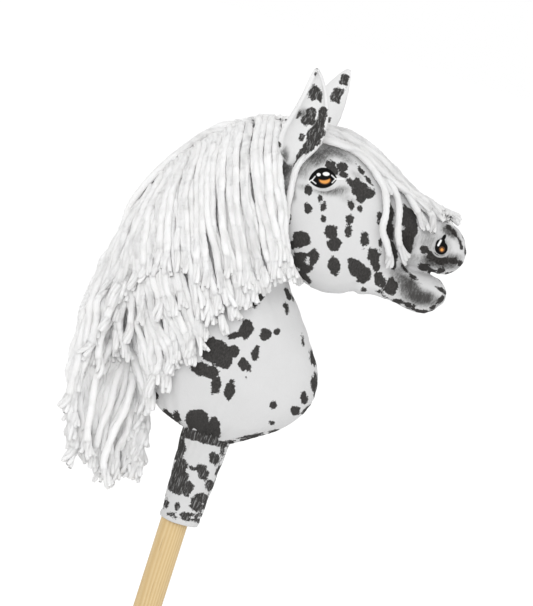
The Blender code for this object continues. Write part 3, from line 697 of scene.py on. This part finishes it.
def hang_strand(tree, roots, start, guide, lift, sideways, sign, spread):
    """The line of one strand that follows its guide, lying on the cloth where it meets it."""
    way = start.normalized()
    path = list(roots)
    ahead, last = 0, len(guide) - 1
    for _ in range(YARN_STEPS):
        here = path[-1]
        while ahead < last and np.hypot(*(guide[ahead] - here)[[0, 2]]) < YARN_REACH:
            ahead += 1
        fall = Vector(guide[ahead]) - here
        left = max(np.hypot(fall.x, fall.z), 1e-4)
        fall.y = (sign * spread - here.y) * YARN_DRIFT if spread else 0.0
        fall.normalize()
        if ahead == last and left < YARN_STEP * 1.5:
            break
        _, normal, far = closest(tree, here)
        # Close over the cloth the strand slides along it, and off the crest to its side
        if far < lift + YARN_SLIDES:
            inward = fall.dot(normal)
            if inward < 0:
                fall -= normal * inward
            if normal.z > -0.2:
                fall.y += sign * sideways * (1 - abs(normal.y)) * 1.2
            fall.normalize()
        way = (way * 0.5 + fall * 0.5).normalized()
        point = here + way * YARN_STEP
        place, normal, far = closest(tree, point)
        if far < lift:
            point = place + normal * lift
        point.y = sign * max(point.y * sign, min(0.002, here.y * sign + 0.001))
        way = (point - here).normalized()
        path.append(here + way * YARN_STEP)
    return path


def smooth_line(path, spacing):
    """Evenly spaced points along a smooth curve through a path."""
    path = np.array([list(p) for p in path])
    dense = curve_at(path, np.linspace(0, len(path) - 1, len(path) * 4))
    gone = gone_along(dense)
    wanted = np.linspace(0, gone[-1], max(int(gone[-1] / spacing), 5))
    return between(wanted, gone, dense)


def frames_along(line):
    """Two ways across a line that turn with it and don't spin about it."""
    ways = ways_along(line)
    # Any direction that no strand runs along
    first = np.cross(ways[0], (0.31, 0.9, 0.3))
    across = [first / np.linalg.norm(first)]
    for way in ways[1:]:
        side = across[-1] - way * (across[-1] @ way)
        across.append(side / np.linalg.norm(side))
    across = np.array(across)
    return across, np.cross(ways, across)


def tube(line, radii, sides, twist=0.0, lobes=1.0, start=0.0, flat=1.0):
    """Points and quads of a tube whose every second corner is drawn in, which makes it look plied."""
    across, over = frames_along(line)
    turn = start + (2 * pi * gone_along(line) / twist if twist else np.zeros(len(line)))
    angles = turn[:, None] + np.arange(sides) * 2 * pi / sides
    reach = radii[:, None] * np.where(np.arange(sides) % 2, lobes, 1.0)
    rings = across[:, None] * (np.cos(angles) * reach)[..., None]
    rings = rings + over[:, None] * (np.sin(angles) * reach)[..., None]
    rings = rings * (1, flat, 1) + line[:, None]
    return rings.reshape(-1, 3), loft_faces(len(line), sides)


class Spool:
    """Gathers yarn into one piece."""

    def __init__(self, name):
        self.name = name
        self.points, self.faces, self.count = [], [], 0

    def add(self, points, faces):
        self.points.append(points)
        self.faces.append(faces + self.count)
        self.count += len(points)

    def strand(self, path, dice, radius=YARN, flat=1.0):
        """One plied strand that unravels at its tip."""
        line = smooth_line(path, YARN_RINGS)
        fray = max(int(YARN_FRAYED * dice.uniform(0.7, 1.2) / YARN_RINGS), 3)
        unravels = len(line) > fray + 6
        body = line[:-fray] if unravels else line
        radii = radius * (1 + 0.07 * np.sin(np.arange(len(body)) * 0.7 + dice.uniform(0, 6)))
        radii[0] = radius * 0.3
        radii[-3:] *= (0.92, 0.75, 0.4)
        self.add(*tube(body, radii, 6, YARN_TWIST, 0.88, dice.uniform(0, 6), flat))
        if not unravels:
            return
        tail = line[-fray - 4:]
        across, over = frames_along(tail)
        turn = dice.uniform(0, 2 * pi)
        share = np.linspace(0, 1, len(tail))
        for k in range(YARN_PLIES):
            angle = turn + k * 2 * pi / YARN_PLIES + dice.uniform(-0.4, 0.4)
            bend = angle + dice.uniform(1.0, 3.0) * share
            reach = radius * (0.42 + dice.uniform(0.2, 1.1) * share**1.5)
            wisp = tail + across * (np.cos(bend) * reach)[:, None]
            wisp = wisp + over * (np.sin(bend) * reach)[:, None]
            wisp = wisp[: dice.integers(len(tail) - 2, len(tail) + 1)]
            thin = radius * np.linspace(0.70, 0.64, len(wisp))
            thin[-1] *= 0.75
            self.add(*tube(wisp, thin, 4))

    def made(self):
        return mesh_object(self.name, np.concatenate(self.points), np.concatenate(self.faces))


def lay_layer(spool, tree, dice, sign, falls, count, height, spread):
    """One layer of the mane down a side of the crest, or behind it where it has a spread."""
    table = np.array(falls, float)
    first, final = table[0, 0], table[-1, 0]
    sideways = 0.15 if spread else 1.0
    clump = (0, 0)
    for i in range(count):
        distance = first + (i + dice.uniform(0.2, 0.8)) / count * (final - first)
        at, away = crest(distance / 1000)
        u, v, above, below = between(distance, table[:, 0], table[:, 1:])
        # Strands near the poll vary less. Now and then a new clump begins, which shares its shift
        lower = min(max((distance - 60) / 60, 0.45), 1)
        if dice.random() < 0.4:
            clump = dice.normal(0, 4) * lower, dice.normal(0, 7)
        u, v = u + clump[0] + dice.normal(0, 2.5) * lower, v + clump[1] + dice.normal(0, 4)
        u += dice.uniform(-1, 14) if spread else 0.0
        end = photo_point(u, v, BACK_ACROSS if spread else SIDE_ACROSS)
        end.y = 0
        lift = YARN * (height + dice.uniform(-0.35, 0.45))
        slants = above + dice.normal(0, 3), below + dice.normal(0, 8) * lower
        guide = hang_guide(dice, at, end, slants, dice.uniform(0.0015, 0.006) * lower)
        fall = slanted(above)
        # Further down the crest the strands start along their fall, and no more from across it
        steep = min(max((distance - 30) / 50, 0), 1)
        roots = [
            at + away * lift * rise + fall * along + Vector((0, sign * across * (1 - steep), 0))
            for rise, along, across in ((0.2, -0.006, -0.007), (0.6, -0.003, -0.004), (0.9, 0.001, 0.001))
        ]
        start = fall + Vector((0, sign * (0.1 + sideways * (1 - 0.75 * steep)), 0))
        reach = dice.uniform(0.003, spread) if spread else 0.0
        path = hang_strand(tree, roots, start, guide, lift, sideways, sign, reach)
        spool.strand(path, dice, YARN * dice.uniform(0.92, 1.08 + 0.12 * lower), flat=0.7)


def lay_crest(spool, tree, dice, sign):
    """Strands along the top of the crest that hang down behind, on the mane's outline."""
    for i in range(CREST_STRANDS):
        share = (i + dice.uniform(0, 1)) / CREST_STRANDS
        distance = CREST_FIRST + (CREST_LAST - CREST_FIRST) * share
        places = [crest(d) for d in np.arange(distance, CREST_LEFT, 0.004)]
        guide = [at + away * YARN * 3 for at, away in places]
        guide += [photo_point(u + 3, v, 0.0) for u, v in OUTLINE]
        guide = smooth_line(guide, FALL_STEP)
        guide = guide[: int(dice.uniform(*CREST_LENGTHS) / FALL_STEP)]
        at, away = crest(distance)
        root = at + away * YARN * 1.2 + Vector((0, sign * 0.001, 0))
        start = Vector((-away.z, 0, away.x))
        reach = 0.002 + 0.024 * ((i * 3) % CREST_STRANDS) / CREST_STRANDS
        height = YARN * (2.1 + 0.3 * (i % 3))
        path = hang_strand(tree, [root], start, guide, height, 0.0, sign, reach)
        spool.strand(path, dice)


def make_mane(tree):
    """Layers of strands down each side of the crest and behind it."""
    dice = np.random.default_rng(7)
    spools = {}
    for side, sign in (("right", -1), ("left", 1)):
        for half, *layer in MANE_LAYERS:
            spool = spools.setdefault((side, half), Spool(f"{side}_mane_{half}"))
            lay_layer(spool, tree, dice, sign, *layer)
        lay_crest(spools[side, "over"], tree, dice, sign)
    return [spool.made() for spool in spools.values()]


# Forelock: near strands' routes over the photograph, from the lowest up
FORELOCK_ROUTES = (
    ((312, 143), (326, 141), (338, 146.5), (350, 153), (361, 161.5), (369, 170.5), (375.5, 180), (380.5, 190),
     (383.4, 201), (383.4, 213), (380.5, 224), (380.5, 232.4), (384.7, 243), (386.8, 254.5), (385.8, 265)),
    ((313, 139), (330, 138), (344, 143), (356, 150.5), (366, 160), (376, 171), (384, 182), (390, 191),
     (394.2, 199), (396.2, 210), (396.6, 221), (396.3, 231), (397.5, 242), (403, 251.5), (410, 258)),
    ((313, 135), (332, 133), (347, 138.6), (361, 146.5), (374, 157.5), (384, 170), (394.5, 183),
     (404.7, 197.6), (411, 207), (416.3, 215.5), (421.6, 224), (427, 232.5)),
    ((313, 131), (334, 130), (350, 134.5), (365.5, 143), (380, 156), (391.5, 172), (402, 185.5),
     (410, 196), (417, 205.5), (424, 212.5), (430, 219), (431, 227), (430, 234)),
    ((314, 128), (338, 128), (356, 133.5), (371, 143.5), (385, 157.5), (397, 173), (408, 188),
     (419, 202.5), (433, 211.5), (441.6, 218.7), (446, 225.5)),
    ((315, 126), (342, 126.5), (362, 133.5), (378, 145), (392, 160), (404, 175.5), (415.5, 192),
     (429, 203), (443.7, 211.4), (457, 219), (461.6, 224.5)),
)
CHEEK_ROUTE = (
    (326, 132), (323, 140), (319, 146.5), (308, 156.8), (298.5, 168), (292.8, 181), (289.5, 194),
    (286.5, 208), (285, 224), (287, 240), (291, 256), (298, 272), (303, 281),
)
TOP_STRANDS = 9


def routed(tree, route, shift, lift, sign):
    """A path over the cloth along a route on the photograph, or along its mirror image."""
    path = []
    for k, (u, v) in enumerate(route):
        u, v = u + shift[0] * k / len(route), v + shift[1]
        place, normal, _, _ = tree.ray_cast(EYE_POINT, sight(u, v))
        # Beside the horse's outline the nearest cloth takes it
        if not place:
            place, normal, _ = closest(tree, photo_point(u, v, -0.003))
        point = place + normal * lift
        path.append(Vector((point.x, -point.y * sign, point.z)))
    return path


def make_forelock(tree):
    """Strands from the poll over the brow and the nose, and one down each cheek."""
    dice = np.random.default_rng(11)
    spool = Spool("forelock")
    for sign in (-1, 1):
        for route in FORELOCK_ROUTES:
            shift = (0, 0) if sign < 0 else (dice.uniform(-7, 7), dice.uniform(-3, 2))
            spool.strand(routed(tree, route, shift, YARN * 1.5, sign), dice)
        # Thinner strands lie lower, half-way between
        for low, high in zip(FORELOCK_ROUTES, FORELOCK_ROUTES[1:]):
            stages = [((a[0] + b[0]) / 2, (a[1] + b[1]) / 2) for a, b in zip(low, high)]
            path = routed(tree, stages[: dice.integers(7, 10)], (0, 0), YARN * 0.6, sign)
            spool.strand(path, dice, YARN * 0.9)
        spool.strand(routed(tree, CHEEK_ROUTE, (0, 0), YARN * 1.1, sign), dice, YARN * 0.95)
    for k in range(TOP_STRANDS):
        slant = radians(-34 + 8.5 * k + dice.uniform(-2, 2))
        rows = np.linspace(0.2, dice.uniform(9.8, 11.6) - abs(k - 4) * 0.2, 24)
        path = []
        for row in rows:
            angle = np.array([slant + 0.05 * sin(row * 2 + k)])
            place, normal, _ = closest(tree, Vector(form_points(FACE_ROWS, [row], angle)[0, 0]))
            path.append(place + normal * YARN * (0.9 if k % 2 else 1.8))
        spool.strand(path, dice)
    return spool.made()


# Ears
EAR_HEIGHT = 0.103
EAR_WIDTH = 0.038
EAR_CUP = radians(58)
EAR_TURN = radians(24)
EAR_SPLAY = radians(13.5)
EAR_TRIM = 0.0004
EAR_CLOTH = 0.0026
EAR_ROLL = 0.0020
EAR_FOOT_RISE = 0.008
EAR_FLAP = 0.008
EAR_ROWS, EAR_COLUMNS = 64, 36
# Shares up the ear, and how wide it is there
EAR_SHAPE = (
    (0.0, 0.50), (0.10, 0.68), (0.22, 0.88), (0.38, 1.0), (0.54, 0.95), (0.68, 0.81),
    (0.82, 0.61), (0.93, 0.38), (0.98, 0.22), (1.0, 0.08),
)
# Each ear's side, which is also where its back edge is, its lean to the front and its tip's to the back
EARS = {"right": (-1, radians(1), 0.007), "left": (1, radians(13), -0.003)}
EAR_HOLLOW_SPOTS = (
    (313.6, 92.8, 5, 7, 27, 1), (319.3, 95.5, 3.2, 7, -12), (299, 114.5, 1.8, 6, 22),
    (310.3, 117, 5, 9, 12, 1), (305, 121, 5, 4, 15), (322, 117, 4.6, 12, 8),
    (315.5, 135, 8, 9.5, 28, 1), (319, 126, 6, 7, 10), (308.5, 146, 6, 8, 38), (301.5, 154, 3.8, 8, 32),
    (297, 162, 2.4, 7, 28), (302.4, 136.8, 3.2, 4.4, 0), (278.5, 146, 2.6, 4, 0),
    (315.9, 74, 1.4, 2.2, 0), (327.2, 81, 1.0, 1.6, 0), (328.4, 93.5, 1.0, 1.6, 0),
)
EAR_BACK_SPOTS = (
    (344.5, 80, 4.4, 5.2, 12, 1), (337, 94.6, 5.4, 8, 24, 1), (328.9, 119.8, 3, 3, 0),
    (347.8, 66.9, 1.4, 1.2, 0), (352, 112, 4, 6, 10), (318, 108, 5, 6, 0),
)
# Greys of the ear's hollow, laid out as the face's: painted shade at the ear's foot and under its flap, and a
# faint painted shade line in the groove inside the rim; the grey at 303.5 across is the print's airbrush
EAR_SHADE_AND_PRINT_GREYS = (
    (284, 157, 5, 10, 12, 0.75), (303.5, 113.5, 5, 6, 20, 0.6), (289, 168, 7, 4, 0, 0.7),
    (279, 160, 3, 9, 0, 0.5), (300, 100, 2, 14, 25, 0.16),
)


def ear_points(side, up, across, inward):
    """Points on an ear's leaf: shares up it, shares across it from -1 to 1, and how far inside it."""
    sign, lean, tip_back = EARS[side]
    wide = np.interp(up, *np.transpose(EAR_SHAPE))
    flap = EAR_FLAP * np.exp(-((up - 0.25) / 0.3) ** 2) * np.clip(across * sign, 0, 1.1) ** 1.5
    smooth = np.sin(np.clip(up, 0, 1) * pi) * 0.02
    half = np.maximum(EAR_WIDTH / 2 * (wide + smooth) - EAR_TRIM, 0.0012)
    radius = half / sin(EAR_CUP)
    turn = across * EAR_CUP
    x = (radius - inward) * np.sin(turn) + (flap + tip_back * up**4) * sign
    y = (radius - inward) * np.cos(turn) - radius
    rise = EAR_FOOT_RISE * (1 - up) ** 4 * (np.sin(turn) / sin(EAR_CUP)) ** 2
    z = up * (EAR_HEIGHT - EAR_TRIM) + rise
    about = Matrix.Rotation(-sign * EAR_TURN + (pi if sign > 0 else 0), 3, "Z")
    stance = Matrix.Rotation(lean, 3, "Y") @ Matrix.Rotation(-sign * EAR_SPLAY, 3, "X") @ about
    return np.stack([x, y, z], -1) @ np.array(stance).T + np.array(HINGES[side])


def make_ear(side):
    """One cupped ear of two layers of cloth with a rounded rim."""
    # Across the back, round the rim and back across the hollow, round the other rim
    back = np.linspace(-1, 1, EAR_COLUMNS + 1)
    hollow = back[::-1]
    rim = 1 + 0.09
    around = np.concatenate([back, [rim, rim], hollow, [-rim, -rim]])
    roll = EAR_CLOTH + EAR_ROLL * np.exp(-((1 - np.abs(hollow)) / 0.2) ** 2)
    low, high = EAR_CLOTH * 0.4, roll[0] - EAR_CLOTH * 0.4
    depth = np.concatenate([np.zeros(EAR_COLUMNS + 1), [low, high], roll, [high, low]])
    ups, acrosses = np.meshgrid(np.linspace(0, 1, EAR_ROWS + 1), around, indexing="ij")
    deep = np.broadcast_to(depth, ups.shape)
    sides = len(around)
    caps = []
    for ring in (0, EAR_ROWS):
        for k in range(-1, EAR_COLUMNS + 1):
            quad = (k % sides, k + 1, sides - 4 - k, (sides - 3 - k) % sides)
            caps.append([ring * sides + q for q in (quad if ring else quad[::-1])])
    faces = np.concatenate([loft_faces(EAR_ROWS + 1, sides), caps])
    leaves = {ear: ear_points(ear, ups, acrosses, deep).reshape(-1, 3) for ear in EARS}
    obj = mesh_object(f"{side}_ear", leaves[side], faces)
    # The photograph shows the near ear's hollow and the far ear's back, and both ears take them so
    inside = np.broadcast_to(depth > 0, ups.shape).ravel()
    near, far = photo_place(leaves["right"], False), photo_place(leaves["left"], False)
    places = np.where(inside[:, None], near, far)
    spots = np.where(inside, spot_field(places, EAR_HOLLOW_SPOTS), spot_field(places, EAR_BACK_SPOTS))
    store_print(obj, places, spots, np.where(inside, grey_field(places, EAR_SHADE_AND_PRINT_GREYS), 0.0))
    return obj


# Sleeve: its height, its back at the hem, its depth and width there, how much more they are at the
# top, and its cloth
SLEEVE_TALL = 0.099
SLEEVE_BACK = -0.016
SLEEVE_HEM = (0.0395, 0.036)
SLEEVE_WIDENS = (0.0115, 0.008)
SLEEVE_CLOTH = 0.0011
SLEEVE_SIDES = 120


def make_sleeve():
    """The oval cloth tube below the neck, with its turned hem and its creases."""
    share = np.concatenate([[0.0, 0.012, 0.03], np.linspace(0.06, 1.0, 48)])
    turn = np.arange(SLEEVE_SIDES) * 2 * pi / SLEEVE_SIDES
    ups, turns = np.meshgrid(share * SLEEVE_TALL, turn, indexing="ij")
    part = ups / SLEEVE_TALL
    depth, width = ((hem + widens * part) / 2 for hem, widens in zip(SLEEVE_HEM, SLEEVE_WIDENS))
    middle = SLEEVE_BACK + SLEEVE_HEM[0] / 2 + (2 * depth - SLEEVE_HEM[0]) * 0.1
    crease = 0.0008 * np.sin(turns * 3 + ups * 90) * np.sin(ups * 130 + 2 * np.sin(turns * 2))
    crease += 0.0007 * np.sin(turns * 14 + 3 * np.sin(turns * 3)) * np.clip(part * 3 - 2, 0, 1)
    crease -= 0.0009 * np.exp(-((ups - 0.0075) / 0.0016) ** 2)
    crease += 0.0007 * np.exp(-((ups - 0.003) / 0.003) ** 2)
    outside, inside = (
        np.stack([
            middle + (depth + crease - inward) * np.cos(turns),
            (width + crease - inward) * np.sin(turns),
            ups + HEM,
        ], -1)
        for inward in (0.0, SLEEVE_CLOTH)
    )
    # Down the outside, round the hem and up the inside, back to the first ring
    rings = np.concatenate([outside[::-1], inside])
    faces = loft_faces(len(rings) + 1, SLEEVE_SIDES) % (len(rings) * SLEEVE_SIDES)
    obj = mesh_object("sleeve_cloth", rings.reshape(-1, 3), faces)
    points = vectors(obj.data.vertices)
    places = photo_place(points)
    store_print(obj, places, spot_field(warped(points, places), SLEEVE_SPOTS), np.zeros(len(points)))
    return obj


# The printed cloth
CHARCOAL = (0.020, 0.0185, 0.0175, 1)
FADED = (0.085, 0.08, 0.076, 1)
SHADED = (0.27, 0.27, 0.268, 1)
AMBER = (0.80, 0.35, 0.09, 1)
BROWN = (0.13, 0.065, 0.035, 1)
BLACK = (0.006, 0.006, 0.006, 1)
LIGHT = (0.9, 0.9, 0.9, 1)
# Strokes of the eye's lid corners: start, end, width
EYE_STROKES = (
    ((309.8, 182.2), (313.2, 180.0), 1.0), ((313.2, 180.0), (315.6, 176.9), 0.9),
    ((313.0, 181.2), (316.4, 183.9), 0.9), ((331.7, 175.8), (335.5, 179.4), 0.9),
    ((335.5, 179.4), (332.1, 183.0), 0.9), ((335.5, 179.4), (343.0, 179.4), 1.3),
)


def stroke(u, v, start, end, width):
    """1 along a straight painted line, in the photograph's pixels."""
    across, down = end[0] - start[0], end[1] - start[1]
    du, dv = u - start[0], v - start[1]
    along = ((du * across + dv * down) / (across**2 + down**2)).most(0.0).least(1.0)
    far = ((du - along * across) ** 2 + (dv - along * down) ** 2) ** 0.5
    return far.band(width / 2 + 0.5, width / 2 - 0.4)


def dab(u, v, centre, wide, tall, turn=0.0, soft=0.35):
    """1 inside a painted oval."""
    along, beside = turned(u, v, centre, turn)
    far = ((along / wide) ** 2 + (beside / tall) ** 2) ** 0.5
    edge = soft / min(wide, tall)
    return far.band(1 + edge, 1 - edge)


def almond(u, v, centre, half, rise, drop, turn):
    """1 inside an almond between an upper and a lower lid."""
    along, beside = turned(u, v, centre, turn)
    inside = (1 - (along / half) ** 2).most(0.0)
    arch = inside**0.75
    over = (beside + arch * rise).band(-0.5, 0.5)
    under = (arch * drop - beside).band(-0.5, 0.5)
    return over * under * inside.band(0.0, 0.02)


def eye_layers(u, v):
    """The printed eye: a black almond, an amber glow low in the iris, pale lid corners and lights."""
    glow = dab(u, v, (324.9, 180.4), 5.0, 3.5, 0, 0.4) * (1 - dab(u, v, (323.6, 177.0), 7.4, 3.8, 0, 0.5))
    return [
        (almond(u, v, (324.4, 181.4), 16.5, 6.0, 10.2, 1) * 0.7, grey(0.70)),
        (almond(u, v, (323.3, 179.6), 13.6, 11.4, 9.0, -3), BLACK),
        (dab(u, v, (324.9, 180.6), 6.0, 4.3) * 0.8, BROWN),
        (dab(u, v, (324.4, 176.6), 7.0, 3.6), BLACK),
        (glow, AMBER),
        *[(stroke(u, v, *line) * 0.9, LIGHT) for line in EYE_STROKES],
        (dab(u, v, (326.3, 174.5), 3.3, 1.9, 4), LIGHT),
        (dab(u, v, (319.0, 175.2), 1.9, 1.6), LIGHT),
    ]


def nostril_layers(u, v):
    """The printed nostril: a black drop with an amber dot, a light and a pale rim, open at its top."""
    ring = abs(((u - 441.2) ** 2 + (v - 247.6) ** 2) ** 0.5 - 9.2).band(1.1, 0.4)
    open_top = (v - u * 0.9 + 158.0).band(-2.0, 2.0)
    return [
        (dab(u, v, (441.3, 248.0), 6.5, 6.6), BLACK),
        (dab(u, v, (440.4, 243.4), 4.4, 6.0, 35), BLACK),
        (dab(u, v, (444.0, 237.6), 1.8, 4.0, 29), BLACK),
        (dab(u, v, (441.9, 249.4), 2.9, 2.9), BROWN),
        (dab(u, v, (441.9, 249.8), 1.5, 1.5), AMBER),
        (stroke(u, v, (440.9, 240.6), (438.3, 245.2), 1.9), LIGHT),
        (ring * open_top * 0.8, grey(0.5)),
    ]


def cloth_looks(name, white, with_face=False):
    """White plush with ragged charcoal spots printed on it."""
    looks = Looks(name, Roughness=0.95, Specular_IOR_Level=0.08)
    place = looks.place()
    blots = (looks.noise(place, 150, 3, 0.6) - 0.5) * 7.0
    rags = (looks.noise(place, 620, 2, 0.6) - 0.5) * 2.6
    spot = (looks.stored("spot") + blots + rags).band(0.55, -0.55)
    nap = looks.noise(looks.place(1, 1, 0.45), 900, 3, 0.7)
    cloudy = looks.noise(place, 34, 3, 0.6)
    white = looks.mix(cloudy.band(0.3, 0.75, 0.0, 0.16), white, grey(0.6))
    white = looks.mix(nap.band(0.25, 0.8, 0.12, 0.0), white, grey(0.55))
    dark = looks.mix(nap.band(0.35, 0.75) * 0.55, CHARCOAL, FADED)
    streaks = looks.noise(looks.place(1, 1, 0.3), 420, 3, 0.7)
    if not with_face:
        fine = looks.noise(looks.place(1, 1, 0.14), 700, 2, 0.6)
        dark = looks.mix(fine.band(0.52, 0.68) * 0.5, dark, grey(0.42))
    # The stored greys: the print's airbrush, with painted shade at the cheek's back edge and on the ear's
    # hollow at its foot
    shading = looks.stored("shading")
    fur = streaks * 0.55 + nap * 0.45 - 0.5
    shaded = (shading + fur * (shading.least(0.5) * 2.6)).most(0.0).least(1.0)
    colour = looks.mix(shaded.band(0.0, 0.75), white, SHADED)
    colour = looks.mix(shaded.band(0.5, 1.0, 0.0, 0.85), colour, dark)
    colour = looks.mix(spot * 0.97, colour, dark)
    if with_face:
        u, v = looks.stored("across"), looks.stored("down")
        for mask, tint in eye_layers(u, v) + nostril_layers(u, v):
            colour = looks.mix(mask, colour, tint)
        stitch = abs(looks.split(place)[1]).band(0.0012, 0.0002) * 0.35
        colour = looks.mix(stitch, colour, grey(0.25))
    looks.set("Base Color", colour)
    looks.raise_up(nap * 0.7 + streaks * 0.3, 0.0009, 0.45)
    return looks


def yarn_looks(name, pale, warm):
    """Soft plied wool, a little warmer here and there."""
    looks = Looks(name, Roughness=0.95, Specular_IOR_Level=0.1, Subsurface_Weight=0.3)
    looks.set("Subsurface Radius", (1, 1, 1))
    looks.set("Subsurface Scale", 0.004)
    fibre = looks.noise(looks.place(1, 1, 0.35), 1500, 3, 0.7)
    tone = looks.noise(looks.place(), 60, 2, 0.5)
    colour = looks.mix(tone.band(0.3, 0.7), pale, warm)
    looks.set("Base Color", looks.mix(fibre.band(0.3, 0.75, 0.08, 0.0), colour, grey(0.7)))
    looks.raise_up(fibre, 0.0008, 0.4)
    return looks


def pine_looks():
    """Sanded pine: straight grain up the stick, a few brown flecks, rings on its sawn ends."""
    looks = Looks("sanded pine", Roughness=0.5, Specular_IOR_Level=0.3)
    x, y, z = looks.split(looks.place())
    bent = looks.noise(looks.place(6, 6, 0.8), 3, 2, 0.5) * 0.02
    rings = (((x + 0.06 + bent) ** 2 + (y + 0.03) ** 2) ** 0.5 * 1900).sine()
    fine = looks.noise(looks.place(1, 1, 0.02), 1400, 3, 0.6)
    flecks = looks.noise(looks.place(1, 1, 0.05), 500, 2, 0.5).band(0.66, 0.74)
    grain = (rings * 0.5 + 0.5) * 0.6 + fine * 0.4
    wood = looks.mix(grain, (0.78, 0.60, 0.335, 1), (0.63, 0.44, 0.205, 1))
    wood = looks.mix(flecks * 0.5, wood, (0.33, 0.18, 0.07, 1))
    looks.set("Base Color", wood)
    looks.set("Roughness", grain.band(0.2, 0.9, 0.46, 0.62))
    looks.raise_up(grain, 0.00025, 0.5)
    return looks


# The studio
FLOOR_SIZE = 400
HORSE_MIDDLE = Vector((0, 0, 0.65))
# Lamps: name, power, size, place
LAMPS = (
    ("front lamp", 13.0, 1.4, (-0.5, -1.9, 1.5)),
    ("side lamp", 4.4, 1.2, (1.7, -0.8, 1.1)),
    ("back lamp", 7.0, 1.4, (-0.4, 1.8, 1.6)),
)


def make_studio():
    """A pale floor under the stick's foot, plain soft lamps, and white all round."""
    bpy.ops.mesh.primitive_plane_add(size=FLOOR_SIZE)
    floor = bpy.context.object
    floor.name = "floor"
    looks = Looks("pale floor", Roughness=0.9, Base_Color=grey(0.9), Specular_IOR_Level=0.1)
    seen = looks.node("ShaderNodeLightPath", out="Is Camera Ray")
    glow = looks.node("ShaderNodeEmission", {}, {"Color": grey(1.0), "Strength": 1.17})
    looks.show_instead(seen * 0.8, glow, "Material Output")
    floor.data.materials.append(looks.material)

    # The room lights the horse a little less than the white that shows behind it
    room = Looks("white room", "worlds", "Background", Color=grey(1.0), Strength=0.79)
    bpy.context.scene.world = room.material
    seen = room.node("ShaderNodeLightPath", out="Is Camera Ray")
    mirrored = room.node("ShaderNodeLightPath", out="Is Glossy Ray")
    shown = room.node("ShaderNodeBackground", {}, {"Color": grey(1.0), "Strength": 1.0})
    room.show_instead(seen.most(mirrored), shown, "World Output")
    for name, power, size, place in LAMPS:
        lamp = set_all(bpy.data.lights.new(name, "AREA"), energy=power, size=size)
        turn = (HORSE_MIDDLE - Vector(place)).to_track_quat("-Z", "Y").to_euler()
        set_all(linked(name, lamp), location=place, rotation_euler=turn)
    bpy.context.scene.view_settings.view_transform = "Standard"


def finish_piece(piece, looks, body, slot, *nodes):
    """Gives a piece its finish, the body that it moves with and the nodes that it stands for."""
    piece.data.materials.clear()
    piece.data.materials.append(looks.material)
    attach(piece, body)
    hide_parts(*nodes)


make_camera()
make_studio()
CLOTH = cloth_looks("printed plush", (0.72, 0.72, 0.722, 1), with_face=True)
# The ears' copy of the plush is painted lighter and the sleeve's a little darker, for the light that falls on
# each
EAR_PLUSH_PAINTED_LIGHTER = cloth_looks("printed plush of the ears", grey(0.87))
SLEEVE_PLUSH_PAINTED_DARKER = cloth_looks("printed plush of the sleeve, painted darker", grey(0.70))
MANE_YARN = yarn_looks("soft yarn of the mane", grey(0.97), (0.93, 0.926, 0.92, 1))
# The forelock's copy of the mane's yarn is painted darker, against the stronger light on its top
FORELOCK_YARN_PAINTED_DARKER = yarn_looks("soft yarn of the forelock, painted darker", grey(0.86), (0.82, 0.816, 0.81, 1))
frame["nodes"]["stick"].data.materials[0] = pine_looks().material

NODES = sorted(frame["nodes"])
HINGES = {j["name"].split("_")[0]: j["pos_m"] for j in frame["joints"] if j["name"].endswith("fold")}
skin = make_skin()
inner = [n for n in NODES if n.endswith("_filling")] + ["stick_pocket", "palate_lining", "lower_lip_lining"]
finish_piece(skin, CLOTH, "head", "plush", "right_cover", "left_cover", *inner)
tree = BVHTree.FromPolygons(
    [Vector(p) for p in vectors(skin.data.vertices)], [list(f.vertices) for f in skin.data.polygons]
)
for mane in make_mane(tree):
    side = mane.name.split("_")[0]
    locks = [n for n in NODES if n.startswith((side + "_mane_lock", side + "_withers"))]
    finish_piece(mane, MANE_YARN, "head", "yarn", *locks, "mane_tape")
tufts = [n for n in NODES if "_forelock_" in n]
finish_piece(make_forelock(tree), FORELOCK_YARN_PAINTED_DARKER, "head", "yarn", *tufts, "forelock_tape")
for side in EARS:
    ear = make_ear(side)
    finish_piece(ear, EAR_PLUSH_PAINTED_LIGHTER, f"{side}_ear", "plush", f"{side}_ear_outer", f"{side}_ear_lining")
sleeve = make_sleeve()
finish_piece(sleeve, SLEEVE_PLUSH_PAINTED_DARKER, "head", "plush", "sleeve")
